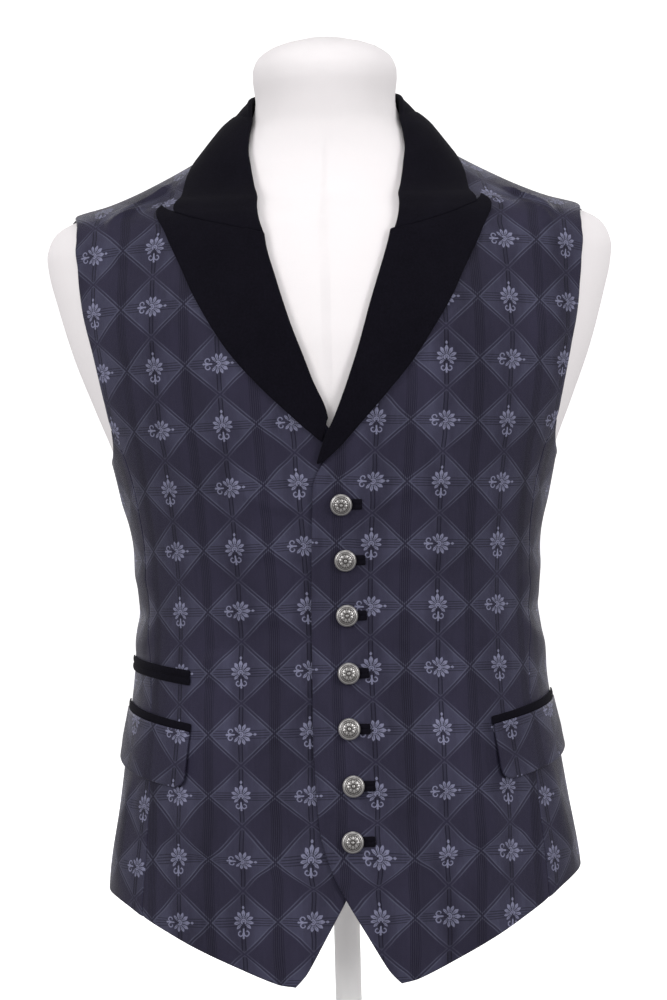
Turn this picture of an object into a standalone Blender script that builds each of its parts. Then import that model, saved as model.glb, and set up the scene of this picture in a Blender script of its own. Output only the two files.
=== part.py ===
"""A waistcoat with peaked lapels, buttoned on a limbless dress form that stands on a pole and a round base.

+X is the wearer's left, -Y the front and +Z up. The tables are in millimetres and degrees. An angle is
measured round the body from its front, and grows towards the wearer's left.
"""

import math
from collections import namedtuple

import bmesh
import bpy
import numpy as np
from mathutils import Matrix, Vector

MM = 0.001
LEFT = 1
RIGHT = -1

# Thicknesses of the cloth and the distances between its layers.
FRONT_CLOTH = 2.0
BACK_CLOTH = 1.6
WOOL = 1.8
STAND_WOOL = 1.6
LAYER_GAP = 0.5
SEAM_TURN = 0.12
SEAM_TURN_POWER = 4
SHARP_ANGLE = 40

# The body inside the cloth: half a section's width, and its depth in front of and behind centre_y.
Level = namedtuple("Level", "z half_width front back centre_y squareness")
BODY = (
    Level(60, 178, 118, 124, 0, 0.86),
    Level(145, 173, 118, 124, 0, 0.86),
    Level(200, 165, 117, 121, 0, 0.86),
    Level(250, 158, 113, 111, 0, 0.86),
    Level(300, 152, 108, 101, 0, 0.86),
    Level(350, 149, 106, 96, 0, 0.86),
    Level(395, 151.5, 109, 99, 0, 0.86),
    Level(430, 158.5, 114, 106, 0, 0.86),
    Level(466, 168.5, 119, 113, 0, 0.86),
    Level(502, 182.5, 122, 119, 0, 0.88),
    Level(543, 198, 120, 123, 0, 0.92),
    Level(586, 210.5, 111, 121, 2, 0.96),
    Level(608, 216, 104, 117, 4, 1),
    Level(621, 217.5, 99, 113, 5, 1),
    Level(632, 215, 94, 109, 6, 1),
    Level(641, 209, 89, 104, 7, 1),
    Level(646.5, 200, 85, 100, 8, 1),
    Level(650, 190, 82, 97, 8, 1),
    Level(655.5, 170, 77, 92, 9, 1),
    Level(664, 149, 71, 85, 10, 1),
    Level(675.5, 126, 65, 77, 10, 1),
    Level(689.5, 100, 60, 70, 10, 1),
    Level(706, 74, 55, 62, 8, 1),
    Level(722, 58, 52, 56, 5, 1),
    Level(737, 53.8, 51.5, 54, 1, 1),
    Level(757, 55.7, 52.5, 55, -3, 1),
    Level(768, 52.5, 49.5, 52, -3, 1),
    Level(776.5, 42.5, 40, 42, -3, 1),
    Level(781, 31, 29, 31, -3, 1),
    Level(784.5, 15.5, 14.5, 15.5, -3, 1),
)
BODY_TOP = 785.7
FORM_BOTTOM = 145
FORM_BOTTOM_ROUND = 6
FORM_RING_STEPS = 32
FORM_RING_SPACING = 13
FORM_FOOT_SCALE = (0.97, 0.96, 1)

# How far the cloth hangs clear of the body.
Ease = namedtuple("Ease", "z clear")
EASE = (
    Ease(60, 6),
    Ease(150, 5.8),
    Ease(200, 5.2),
    Ease(250, 5),
    Ease(300, 3.8),
    Ease(350, 3),
    Ease(395, 2.7),
    Ease(430, 2),
    Ease(466, 1.4),
    Ease(610, 1.5),
    Ease(638, 2.5),
    Ease(656, 2.5),
    Ease(680, 1.6),
    Ease(757, 1.4),
)

# One front from its hem up: the inner edge is the front edge, the lapel's roll and then the neck seam, and
# the outer edge is the side-front seam and then the armhole.
Row = namedtuple("Row", "inner_angle inner_z outer_angle outer_z")
FRONT = (
    Row(12.4, 74.5, 57.3, 126),
    Row(10.2, 82, 57.4, 134),
    Row(5.0, 110, 57.6, 156),
    Row(0.2, 136.8, 58.0, 178),
    Row(-2.2, 151.8, 58.4, 192),
    Row(-5.8, 188, 59.3, 220),
    Row(-6.6, 218, 60.8, 247),
    Row(-7.2, 250, 62.8, 275),
    Row(-7.3, 285, 65.5, 305),
    Row(-7.3, 318, 68.5, 332),
    Row(-7.2, 350, 69.6, 358),
    Row(-6.8, 385, 69.2, 388),
    Row(-6.2, 416, 67.8, 418),
    Row(-5.4, 442, 66.8, 444),
    Row(-2.1, 461, 67.2, 467),
    Row(0.7, 481, 69.5, 487),
    Row(3.0, 499, 67.4, 507),
    Row(6.2, 526, 65.0, 530),
    Row(8.2, 550, 63.6, 552),
    Row(9.6, 568, 63.0, 572),
    Row(11.3, 590, 61.8, 592),
    Row(12.7, 613, 60.7, 611),
    Row(15.9, 634, 61.0, 627),
    Row(26.0, 656, 64.0, 639.5),
    Row(42.0, 676, 70.0, 645),
    Row(63.0, 690.5, 78.5, 648.3),
    Row(87.9, 700, 87.9, 650.8),
)
ARMHOLE_ROW = 15
RIGHT_ROLL_SHIFT = 1.4
RIGHT_ROLL_STARTS = (474, 494)
RIGHT_ROLL_ENDS = (610, 636)
FRONT_STEPS_ACROSS = 11
ARMHOLE_STEP = 0.5
SHOULDER_RISE = 2.0
SHOULDER_ROWS = 3

# The hems, seen from the front. The wearer's right one hangs a little lower at its side.
Point = namedtuple("Point", "angle z")
FRONT_HEM = (
    Point(12.4, 74.5),
    Point(15.5, 76),
    Point(28.2, 91.5),
    Point(38.0, 103.5),
    Point(48.5, 116.5),
    Point(57.3, 126),
)
SIDE_HEM = (Point(57.3, 126), Point(66, 134), Point(76, 139.5), Point(88, 142), Point(100, 142.5))
SIDE_UNDERARM = (Point(69.5, 487), Point(73.8, 475), Point(81, 465.5), Point(90, 462), Point(100, 463))
BACK_HEM = (Point(100, 142.5), Point(125, 139), Point(152, 133), Point(180, 131))
HEM_TILT = 0.055
HEM_TILT_GONE = (140, 260)
HEM_TILT_ROUND = (100, 180)
SIDE_STEPS_ACROSS = 5

# One half of the back from its hem up: the centre seam and the neck, then the side seam and the armhole.
BACK = (
    Row(180, 131, 100, 142.5),
    Row(180, 180, 100, 185),
    Row(180, 240, 100, 240),
    Row(180, 300, 100, 300),
    Row(180, 350, 100, 350),
    Row(180, 400, 100, 395),
    Row(180, 445, 100, 430),
    Row(180, 482, 100, 463),
    Row(180, 520, 104, 478),
    Row(180, 560, 109.5, 508),
    Row(180, 600, 113.5, 545),
    Row(180, 640, 115.5, 580),
    Row(180, 672, 115.8, 610),
    Row(180, 703.5, 113, 633),
    Row(150, 703.8, 107, 642),
    Row(118, 702.5, 98, 647.5),
    Row(88.15, 700, 88.15, 650.8),
)
BACK_STEPS_ACROSS = 9
BACK_YOKE_ROW = 10
BACK_YOKE_STEP = 0.25

# Where the wearer's left front lies on the right one, and how it comes down beside it.
OVERLAP_ENDS = 8.6
OVERLAP_SETTLED = 17
OVERLAP_TOP = 500
OVERLAP_TOP_SETTLED = 560

# Lapels from the front edge up to the seam under the collar, and half the collar from there to its centre.
Turn = namedtuple("Turn", "fold_angle fold_z edge_angle edge_z")
LAPEL_LEFT = (
    Turn(-3.9, 458.5, -2.6, 459.8),
    Turn(-1.9, 474.5, 1.4, 471),
    Turn(0.6, 490.5, 6.9, 489.6),
    Turn(2.8, 508, 12.2, 509),
    Turn(5.0, 529.5, 17.0, 529.5),
    Turn(6.9, 552, 21.1, 552.5),
    Turn(8.5, 574, 24.8, 576),
    Turn(10.1, 595, 28.0, 604),
    Turn(11.5, 613.5, 32.2, 631.5),
    Turn(12.6, 627.8, 39.3, 652.5),
)
LAPEL_RIGHT = (
    Turn(1.7, 489.5, 3.1, 474),
    Turn(2.6, 499, 9.6, 492.6),
    Turn(4.9, 517, 16.2, 514.4),
    Turn(7.0, 539, 21.6, 537.5),
    Turn(8.9, 559, 25.3, 559.2),
    Turn(10.5, 581, 28.6, 585),
    Turn(11.7, 600, 31.0, 610),
    Turn(12.6, 614, 34.3, 631.8),
    Turn(13.2, 627.2, 41.0, 650.2),
)
LAPEL_STEPS = 17
LAPEL_FALL = (0.0, 0.2, 0.4, 0.6, 0.8, 1.0)
LAPEL_BRIDGE = 0.8
PEAK_CLEAR = 0.4
PEAK_FROM = (600, 640)
HOOK = 2.4

Collar = namedtuple("Collar", "fold_angle fold_z edge_angle edge_z seam_angle seam_z bridge")
COLLAR = (
    Collar(13.3, 629.2, 33.4, 646.2, 15.0, 631, 0),
    Collar(16.0, 647, 39.5, 656.3, 20.5, 648.5, 0),
    Collar(21.5, 662.5, 47.4, 667.6, 29.5, 663.5, 1),
    Collar(30.0, 680.5, 58.0, 679.3, 42.0, 678.5, 3),
    Collar(44.0, 698.5, 70.0, 688, 59.0, 690, 5.5),
    Collar(61.0, 715, 83.0, 693.5, 75.0, 697.5, 7.5),
    Collar(78.0, 729, 98.0, 695.5, 90.0, 702, 8.5),
    Collar(98.0, 739.5, 116.0, 695, 110.0, 704, 8),
    Collar(124.0, 744.5, 138.0, 693, 133.0, 705.5, 6.5),
    Collar(152.0, 747, 159.0, 691, 157.0, 705.8, 5.5),
    Collar(180.0, 748, 180.0, 690, 180.0, 705.8, 5),
)
COLLAR_TILT = 1.5
COLLAR_STEPS = 18
COLLAR_CLEAR = 0.6
FOLD_ROUND = 1.0
FOLD_INSIDE = 0.9
FOLD_MIDDLE = 0.72
STAND_LINES = (1.0, 0.6)
HOOK_SHARE = 0.5
STAND_CLEAR = 0.4

# Pockets, from the end nearer the front edge to the end nearer the side.
Strip = namedtuple("Strip", "angle low high")
FLAP = (
    Strip(44.2, 224, 258.6),
    Strip(46.5, 220.3, 259.6),
    Strip(51.0, 220.6, 261.3),
    Strip(63.0, 225.5, 265.7),
    Strip(75.0, 231.5, 270),
    Strip(84.0, 237, 273.2),
    Strip(88.5, 244, 274.6),
)
FLAP_STEPS_DOWN = 5
FLAP_STEPS_ACROSS = 10
FLAP_SWING_INNER = 0.8
FLAP_SWING_OUTER = 1.8
FLAP_CLOTH = 2.0
POCKET_JET = (Strip(43.9, 259.3, 265), Strip(66, 267.5, 273.4), Strip(88, 275.3, 281))
TICKET_JET_LOW = (Strip(45.6, 294.6, 299.3), Strip(66, 300.5, 305), Strip(86.5, 304.8, 309.2))
TICKET_JET_HIGH = (Strip(45.8, 299.9, 305), Strip(66, 305.6, 310.2), Strip(86.5, 309.8, 314.6))
JET_CLOTH = 1.2
JET_STEPS_ACROSS = 8

# The row of buttons and the bound holes beside them, from the top.
ButtonPlace = namedtuple("ButtonPlace", "angle z")
BUTTONS = (
    ButtonPlace(1.3, 427.5),
    ButtonPlace(2.1, 386),
    ButtonPlace(2.2, 344.4),
    ButtonPlace(2.2, 301.5),
    ButtonPlace(1.9, 260.3),
    ButtonPlace(2.5, 218.9),
    ButtonPlace(1.9, 178.9),
)
HOLE_FROM = -1.4
HOLE_TO = 5.3
HOLE_HEIGHT = 6.8
HOLE_CLOTH = 1.0
HOLE_ROUND = 0.8
HOLE_STEPS_ACROSS = 4
BUTTON_CLEAR = 0.45
BUTTON_SEGMENTS = 14
Turned = namedtuple("Turned", "radius height")
BUTTON_PROFILE = (
    Turned(0, 0),
    Turned(7.4, 0),
    Turned(8.1, 0.7),
    Turned(8.1, 1.5),
    Turned(7.3, 2.1),
    Turned(6.2, 2.5),
    Turned(3.4, 3.7),
    Turned(0, 4.2),
)

# The stand under the form.
BASE_PROFILE = (
    Turned(0, 0),
    Turned(138, 0),
    Turned(140, 2),
    Turned(140, 7),
    Turned(137, 10),
    Turned(60, 12),
    Turned(22, 13),
    Turned(17, 16),
    Turned(17, 22),
    Turned(0, 22),
)
POLE_RADIUS = 10
POLE_CLEAR = 0.3
STAND_SEGMENTS = 36
POLE_SEGMENTS = 20

Look = namedtuple("Look", "colour roughness metallic")
JACQUARD = Look((0.040, 0.038, 0.058), 0.55, 0)
SATIN = Look((0.018, 0.017, 0.024), 0.4, 0)
BLACK_WOOL = Look((0.006, 0.0055, 0.008), 0.9, 0)
JERSEY = Look((0.82, 0.80, 0.79), 0.9, 0)
ANTIQUE_SILVER = Look((0.36, 0.35, 0.34), 0.38, 1)
PAINTED_STEEL = Look((0.80, 0.79, 0.77), 0.4, 0)


def clear_scene():
    for item in list(bpy.data.objects):
        bpy.data.objects.remove(item, do_unlink=True)


def smooth(places, values):
    """A curve through the values at these places, with no overshoot between them."""
    x = np.asarray(places, float)
    y = np.asarray(values, float)
    run = np.diff(x)
    rise = np.diff(y) / run
    slope = np.zeros(len(x))
    slope[0] = rise[0]
    slope[-1] = rise[-1]
    for k in range(1, len(x) - 1):
        if rise[k - 1] * rise[k] > 0:
            before = 2 * run[k] + run[k - 1]
            after = run[k] + 2 * run[k - 1]
            slope[k] = (before + after) / (before / rise[k - 1] + after / rise[k])

    def curve(at):
        at = np.clip(np.asarray(at, float), x[0], x[-1])
        k = np.clip(np.searchsorted(x, at, side="right") - 1, 0, len(run) - 1)
        t = (at - x[k]) / run[k]
        start = y[k] * (1 + 2 * t) * (1 - t) ** 2 + run[k] * slope[k] * t * (1 - t) ** 2
        end = y[k + 1] * t * t * (3 - 2 * t) + run[k] * slope[k + 1] * t * t * (t - 1)
        return start + end

    return curve


def columns(table, places):
    """Every column of a table read at these places along its rows, as one array."""
    index = np.arange(len(table))
    return np.stack([smooth(index, column)(places) for column in zip(*table)], -1)


def along(table, steps):
    return columns(table, np.linspace(0, len(table) - 1, steps + 1))


def ramp(value, start, end):
    t = np.clip((value - start) / (end - start), 0, 1)
    return t * t * (3 - 2 * t)


BODY_LEVELS = [level.z for level in BODY]
HALF_WIDTH = smooth(BODY_LEVELS, [level.half_width for level in BODY])
FRONT_DEPTH = smooth(BODY_LEVELS, [level.front for level in BODY])
BACK_DEPTH = smooth(BODY_LEVELS, [level.back for level in BODY])
CENTRE_Y = smooth(BODY_LEVELS, [level.centre_y for level in BODY])
SQUARENESS = smooth(BODY_LEVELS, [level.squareness for level in BODY])
CLEAR = smooth([ease.z for ease in EASE], [ease.clear for ease in EASE])


def body(angle, z):
    across = np.sin(np.radians(angle))
    towards = np.cos(np.radians(angle))
    depth = np.where(towards >= 0, -FRONT_DEPTH(z), BACK_DEPTH(z)) * np.abs(towards) ** SQUARENESS(z)
    return np.stack([HALF_WIDTH(z) * across, CENTRE_Y(z) + depth, z + 0 * across], -1)


def skin(angle, z, lift=0.0):
    """The point of the cloth's inner face at this angle and height, moved out by the lift."""
    angle, z, lift = np.broadcast_arrays(*(np.asarray(value, float) for value in (angle, z, lift)))
    round_body = body(angle + 0.5, z) - body(angle - 0.5, z)
    up_body = body(angle, z + 0.5) - body(angle, z - 0.5)
    outward = np.cross(round_body, up_body)
    outward /= np.linalg.norm(outward, axis=-1, keepdims=True)
    return body(angle, z) + outward * (CLEAR(z) + lift)[..., None]


def outward_at(angle, z):
    step = skin(angle, z, 1.0) - skin(angle, z, 0.0)
    return step / np.linalg.norm(step)


def paint(item, look):
    material = bpy.data.materials.new(item.name)
    material.use_nodes = True
    shader = material.node_tree.nodes["Principled BSDF"]
    shader.inputs["Base Color"].default_value = (*look.colour, 1)
    shader.inputs["Roughness"].default_value = look.roughness
    shader.inputs["Metallic"].default_value = look.metallic
    item.data.materials.append(material)


def add_object(name, mesh_of_piece, look):
    """Adds the piece as an object with its own material, its faces pointing out."""
    if mesh_of_piece.calc_volume(signed=True) < 0:
        bmesh.ops.reverse_faces(mesh_of_piece, faces=mesh_of_piece.faces)
    mesh = bpy.data.meshes.new(name)
    mesh_of_piece.to_mesh(mesh)
    mesh_of_piece.free()
    mesh.shade_smooth()
    mesh.set_sharp_from_angle(angle=math.radians(SHARP_ANGLE))
    item = bpy.data.objects.new(name, mesh)
    bpy.context.scene.collection.objects.link(item)
    paint(item, look)
    return item


def face_grid(mesh, points):
    """Fills a rectangle of points with quads and returns its vertices."""
    rows = [[mesh.verts.new(Vector(point) * MM) for point in row] for row in points]
    for low, high in zip(rows, rows[1:]):
        for k in range(len(low) - 1):
            mesh.faces.new((low[k], low[k + 1], high[k + 1], high[k]))
    return rows


def border(rows):
    start = rows[0]
    end = rows[-1][::-1]
    return start + [row[-1] for row in rows[1:-1]] + end + [row[0] for row in rows[-2:0:-1]]


def wall(name, under, over, look):
    """A closed cloth wall between two rectangles of points that face each other."""
    mesh = bmesh.new()
    inner = border(face_grid(mesh, under[:, ::-1]))
    outer = border([row[::-1] for row in face_grid(mesh, over)])
    for k in range(len(inner)):
        mesh.faces.new((inner[k - 1], outer[k - 1], outer[k], inner[k]))
    bmesh.ops.recalc_face_normals(mesh, faces=mesh.faces)
    return add_object(name, mesh, look)


def patch(inner, outer, bottom, top):
    """Points over the area between four edges, each an array of angles and heights."""
    v = np.linspace(0, 1, len(inner))[:, None, None]
    u = np.linspace(0, 1, len(bottom))[None, :, None]
    sides = (1 - u) * inner[:, None] + u * outer[:, None]
    ends = (1 - v) * bottom[None] + v * top[None]
    low = (1 - u) * inner[0] + u * outer[0]
    high = (1 - u) * inner[-1] + u * outer[-1]
    return sides + ends - (1 - v) * low - v * high


def straight(start, end, steps):
    share = np.linspace(0, 1, steps + 1)[:, None]
    return (1 - share) * start + share * end


def on_side(area, side):
    """The area on the wearer's left or right, with the tilt of the hems, which fades towards the back."""
    angle = area[..., 0]
    z = area[..., 1]
    low = 1 - ramp(z, *HEM_TILT_GONE)
    forward = 1 - ramp(angle, *HEM_TILT_ROUND)
    return np.stack([angle * side, z + HEM_TILT * angle * side * low * forward], -1)


def overlap(angle, z):
    """How far the wearer's left front is lifted to lie on the right one."""
    near = 1 - ramp(angle, OVERLAP_ENDS, OVERLAP_SETTLED)
    low = 1 - ramp(z, OVERLAP_TOP, OVERLAP_TOP_SETTLED)
    return (FRONT_CLOTH + LAYER_GAP) * near * low


def front_lift(angle, z, side):
    return overlap(angle, z) if side == LEFT else 0 * angle


def row_places(last, finer_from, step):
    """Whole rows up to one of them, and closer ones from there to the last."""
    closer = round((last - finer_from) / step)
    return np.concatenate([np.arange(finer_from), np.linspace(finer_from, last, closer + 1)])


def shoulder_rise(places, side):
    """How far the armhole's top is raised, over a table's last rows: the wearer's left shoulder is cut
    a little shorter."""
    if side == RIGHT:
        return np.zeros(len(places))
    return SHOULDER_RISE * np.clip((places - places[-1]) / SHOULDER_ROWS + 1, 0, 1) ** 2


def front_rows(side):
    """The front's inner and outer edges. The lapels' rolls cross a little to the wearer's right."""
    places = row_places(len(FRONT) - 1, ARMHOLE_ROW, ARMHOLE_STEP)
    rows = columns(FRONT, places)
    rows[:, 3] += shoulder_rise(places, side)
    if side == RIGHT:
        z = rows[:, 1]
        rows[:, 0] += RIGHT_ROLL_SHIFT * ramp(z, *RIGHT_ROLL_STARTS) * (1 - ramp(z, *RIGHT_ROLL_ENDS))
    return rows[:, :2], rows[:, 2:]


def build_front(name, side):
    inner, outer = front_rows(side)
    bottom = along(FRONT_HEM, FRONT_STEPS_ACROSS)
    top = straight(inner[-1], outer[-1], FRONT_STEPS_ACROSS)
    area = patch(inner, outer, bottom, top)
    area[:, :, 0] -= SEAM_TURN * np.linspace(0, 1, area.shape[1]) ** SEAM_TURN_POWER
    area = on_side(area, side)
    angle = area[..., 0]
    z = area[..., 1]
    lift = front_lift(angle, z, side)
    wall(name, skin(angle, z, lift), skin(angle, z, lift + FRONT_CLOTH), JACQUARD)


def build_side(name, side):
    front_edge = columns(FRONT[: ARMHOLE_ROW + 1], np.arange(ARMHOLE_ROW + 1))[:, 2:]
    underarm = along(SIDE_UNDERARM, SIDE_STEPS_ACROSS)
    hem = along(SIDE_HEM, SIDE_STEPS_ACROSS)
    back_edge = straight(hem[-1], underarm[-1], ARMHOLE_ROW)
    area = patch(front_edge, back_edge, hem, underarm)
    area[:, :, 0] += SEAM_TURN * np.linspace(1, -1, area.shape[1])
    area = on_side(area, side)
    angle = area[..., 0]
    z = area[..., 1]
    wall(name, skin(angle, z), skin(angle, z, FRONT_CLOTH), JACQUARD)


def build_back(name, side):
    places = row_places(len(BACK) - 1, BACK_YOKE_ROW, BACK_YOKE_STEP)
    rows = columns(BACK, places)
    rows[:, 3] += shoulder_rise(places, side)
    inner = rows[:, :2]
    outer = rows[:, 2:]
    bottom = along(BACK_HEM, BACK_STEPS_ACROSS)[::-1]
    top = straight(inner[-1], outer[-1], BACK_STEPS_ACROSS)
    area = patch(inner, outer, bottom, top)
    area[:, :, 0] += SEAM_TURN * np.linspace(-1, 1, area.shape[1])
    area = on_side(area, side)
    angle = area[..., 0]
    z = area[..., 1]
    wall(name, skin(angle, z), skin(angle, z, BACK_CLOTH), SATIN)


def turned_band(name, fold, edge, seam, bridge, lift_of, look):
    """Wool that stands up from a seam, turns over at a fold and falls to a free edge."""
    fall = edge - fold
    width = np.linalg.norm(skin(*edge.T) - skin(*fold.T), axis=-1)[:, None]
    millimetre = fall / width
    stand = seam - fold
    stand_width = np.linalg.norm(skin(*seam.T) - skin(*fold.T), axis=-1)[:, None]
    near_stand = stand / stand_width
    rest = FRONT_CLOTH + LAYER_GAP
    over = []
    under = []

    def add(at, high, low, below=None):
        under_at = at if below is None else below
        over.append(skin(*at.T, high + lift_of(*at.T)))
        under.append(skin(*under_at.T, low + lift_of(*under_at.T)))

    for share in STAND_LINES:
        add(fold + stand * share, STAND_CLEAR, STAND_CLEAR + STAND_WOOL)
    add(fold, STAND_CLEAR, STAND_CLEAR + STAND_WOOL, fold + near_stand * FOLD_INSIDE)
    middle = (STAND_CLEAR + rest + WOOL) / 2
    add(fold - millimetre * FOLD_ROUND, middle, middle, fold + millimetre * FOLD_MIDDLE)
    for share in LAPEL_FALL:
        at = fold + fall * share
        inside = at if share else fold + millimetre * FOLD_INSIDE
        rise = bridge * math.sin(math.pi * share)
        add(at, rest + WOOL + rise, rest + rise, inside)
    return wall(name, np.stack(under, 1), np.stack(over, 1), look)


def build_lapel(name, table, side):
    rows = along(table, LAPEL_STEPS)
    fold = rows[:, :2] * (side, 1)
    edge = rows[:, 2:] * (side, 1)
    fall = edge - fold
    width = np.linalg.norm(skin(*edge.T) - skin(*fold.T), axis=-1)[:, None]
    seam = fold + fall * np.minimum(HOOK / width, HOOK_SHARE)
    bridge = np.linspace(0, LAPEL_BRIDGE, len(rows))

    def lift_of(angle, z):
        return front_lift(angle, z, side) + PEAK_CLEAR * ramp(z, *PEAK_FROM)

    turned_band(name, fold, edge, seam, bridge, lift_of, BLACK_WOOL)


def build_collar():
    half = along(COLLAR, COLLAR_STEPS)
    tilt = COLLAR_TILT * np.linspace(1, 0, len(half))
    other = half[:-1][::-1] * (-1, 1, -1, 1, -1, 1, 1)
    other[:, 0:6:2] += 360
    half[:, 3] += tilt
    other[:, 3] -= tilt[:-1][::-1]
    rows = np.concatenate([half, other])
    fold, edge, seam = rows[:, 0:2], rows[:, 2:4], rows[:, 4:6]
    turned_band("collar", fold, edge, seam, rows[:, 6], lambda angle, z: COLLAR_CLEAR + 0 * angle, BLACK_WOOL)


def strip_rows(table, side, steps_across, steps_down):
    """The angles and heights of a strip on the fronts, from its high edge to its low one."""
    rows = along(table, steps_across)
    down = np.linspace(0, 1, steps_down + 1)[None, :]
    angle = (rows[:, :1] + 0 * down) * side
    return np.stack([angle, rows[:, 2:] * (1 - down) + rows[:, 1:2] * down], -1)


def strip_wall(name, strip, lift, cloth, look):
    """A strip laid on the fronts, lifted further where the lift says so."""
    angle = strip[..., 0]
    z = strip[..., 1]
    across = np.linspace(0, 1, len(strip))[:, None]
    down = np.linspace(0, 1, strip.shape[1])[None, :]
    low = FRONT_CLOTH + LAYER_GAP + overlap(np.abs(angle), z) + lift(across, down)
    wall(name, skin(angle, z, low), skin(angle, z, low + cloth), look)


def flat_lift(across, down):
    return 0 * across * down


def flap_lift(across, down):
    """A flap hangs a little away from the front, most at its outer lower corner."""
    return (FLAP_SWING_INNER + (FLAP_SWING_OUTER - FLAP_SWING_INNER) * across) * down


def build_pockets():
    for word, side in (("left", LEFT), ("right", RIGHT)):
        flap = strip_rows(FLAP, side, FLAP_STEPS_ACROSS, FLAP_STEPS_DOWN)
        strip_wall(f"pocket_flap_{word}", flap, flap_lift, FLAP_CLOTH, JACQUARD)
        jet = strip_rows(POCKET_JET, side, JET_STEPS_ACROSS, 1)
        strip_wall(f"pocket_jet_{word}", jet, flat_lift, JET_CLOTH, BLACK_WOOL)
    for word, table in (("low", TICKET_JET_LOW), ("high", TICKET_JET_HIGH)):
        jet = strip_rows(table, RIGHT, JET_STEPS_ACROSS, 1)
        strip_wall(f"ticket_jet_{word}", jet, flat_lift, JET_CLOTH, BLACK_WOOL)


def build_buttonhole(name, place):
    half = HOLE_HEIGHT / 2
    table = (
        Strip(place.angle + HOLE_FROM, place.z - half, place.z + half),
        Strip(place.angle + HOLE_TO - HOLE_ROUND, place.z - half, place.z + half),
        Strip(place.angle + HOLE_TO, place.z - half + HOLE_ROUND, place.z + half - HOLE_ROUND),
    )
    strip_wall(name, strip_rows(table, LEFT, HOLE_STEPS_ACROSS, 2), flat_lift, HOLE_CLOTH, BLACK_WOOL)


def turned_mesh(profile, segments):
    """A solid turned round its own Z axis from a profile that starts and ends on the axis."""
    mesh = bmesh.new()
    points = [mesh.verts.new((row.radius * MM, 0, row.height * MM)) for row in profile]
    edges = [mesh.edges.new(pair) for pair in zip(points, points[1:])]
    bmesh.ops.spin(
        mesh,
        geom=points + edges,
        cent=(0, 0, 0),
        axis=(0, 0, 1),
        angle=2 * math.pi,
        steps=segments,
        use_merge=True,
    )
    bmesh.ops.remove_doubles(mesh, verts=mesh.verts, dist=0.00001)
    bmesh.ops.recalc_face_normals(mesh, faces=mesh.faces)
    return mesh


def build_button(name, place):
    lift = overlap(place.angle, place.z) + FRONT_CLOTH + LAYER_GAP + HOLE_CLOTH + BUTTON_CLEAR
    item = add_object(name, turned_mesh(BUTTON_PROFILE, BUTTON_SEGMENTS), ANTIQUE_SILVER)
    outward = Vector(outward_at(place.angle, place.z))
    turn = outward.to_track_quat("Z", "Y").to_matrix().to_4x4()
    item.matrix_world = Matrix.Translation(Vector(skin(place.angle, place.z, lift)) * MM) @ turn


def build_form():
    angles = np.linspace(0, 360, FORM_RING_STEPS, endpoint=False)
    levels = [level for level in BODY_LEVELS if level > FORM_BOTTOM + FORM_BOTTOM_ROUND]
    levels = [FORM_BOTTOM + FORM_BOTTOM_ROUND] + levels
    between = [(low + high) / 2 for low, high in zip(levels, levels[1:]) if high - low > FORM_RING_SPACING]
    rings = [body(angles, level) for level in sorted(levels + between)]
    foot = body(angles, FORM_BOTTOM) * FORM_FOOT_SCALE
    mesh = bmesh.new()
    loops = [[mesh.verts.new(Vector(point) * MM) for point in ring] for ring in [foot] + rings]
    for low, high in zip(loops, loops[1:]):
        for k in range(len(low)):
            mesh.faces.new((low[k - 1], low[k], high[k], high[k - 1]))
    for loop, z in ((loops[0], FORM_BOTTOM), (loops[-1], BODY_TOP)):
        tip = mesh.verts.new((0, float(CENTRE_Y(z)) * MM, z * MM))
        for k in range(len(loop)):
            mesh.faces.new((loop[k - 1], loop[k], tip))
    bmesh.ops.recalc_face_normals(mesh, faces=mesh.faces)
    add_object("form_torso", mesh, JERSEY)


def build_stand():
    add_object("stand_base", turned_mesh(BASE_PROFILE, STAND_SEGMENTS), PAINTED_STEEL)
    foot = BASE_PROFILE[-1].height + POLE_CLEAR
    top = FORM_BOTTOM - POLE_CLEAR
    profile = (Turned(0, foot), Turned(POLE_RADIUS, foot), Turned(POLE_RADIUS, top), Turned(0, top))
    add_object("stand_pole", turned_mesh(profile, POLE_SEGMENTS), PAINTED_STEEL)


def centre_on_origin():
    """Moves everything so that the origin is under the middle of the whole object's box."""
    bpy.context.view_layer.update()
    items = list(bpy.context.scene.collection.objects)
    corners = [item.matrix_world @ vertex.co for item in items for vertex in item.data.vertices]
    middle = [(min(c[axis] for c in corners) + max(c[axis] for c in corners)) / 2 for axis in (0, 1)]
    for item in items:
        item.matrix_world = Matrix.Translation((-middle[0], -middle[1], 0)) @ item.matrix_world


def main():
    clear_scene()
    build_form()
    build_stand()
    for word, side, lapel in (("left", LEFT, LAPEL_LEFT), ("right", RIGHT, LAPEL_RIGHT)):
        build_front(f"front_{word}", side)
        build_side(f"side_{word}", side)
        build_back(f"back_{word}", side)
        build_lapel(f"lapel_{word}", lapel, side)
    build_collar()
    build_pockets()
    for number, place in enumerate(BUTTONS, 1):
        build_buttonhole(f"buttonhole_{number}", place)
        build_button(f"button_{number}", place)
    centre_on_origin()


main()
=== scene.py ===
import math
from collections import namedtuple

import bpy
import numpy as np
from bpy.props import FloatProperty, FloatVectorProperty, PointerProperty
from mathutils import Matrix, Vector


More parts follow.
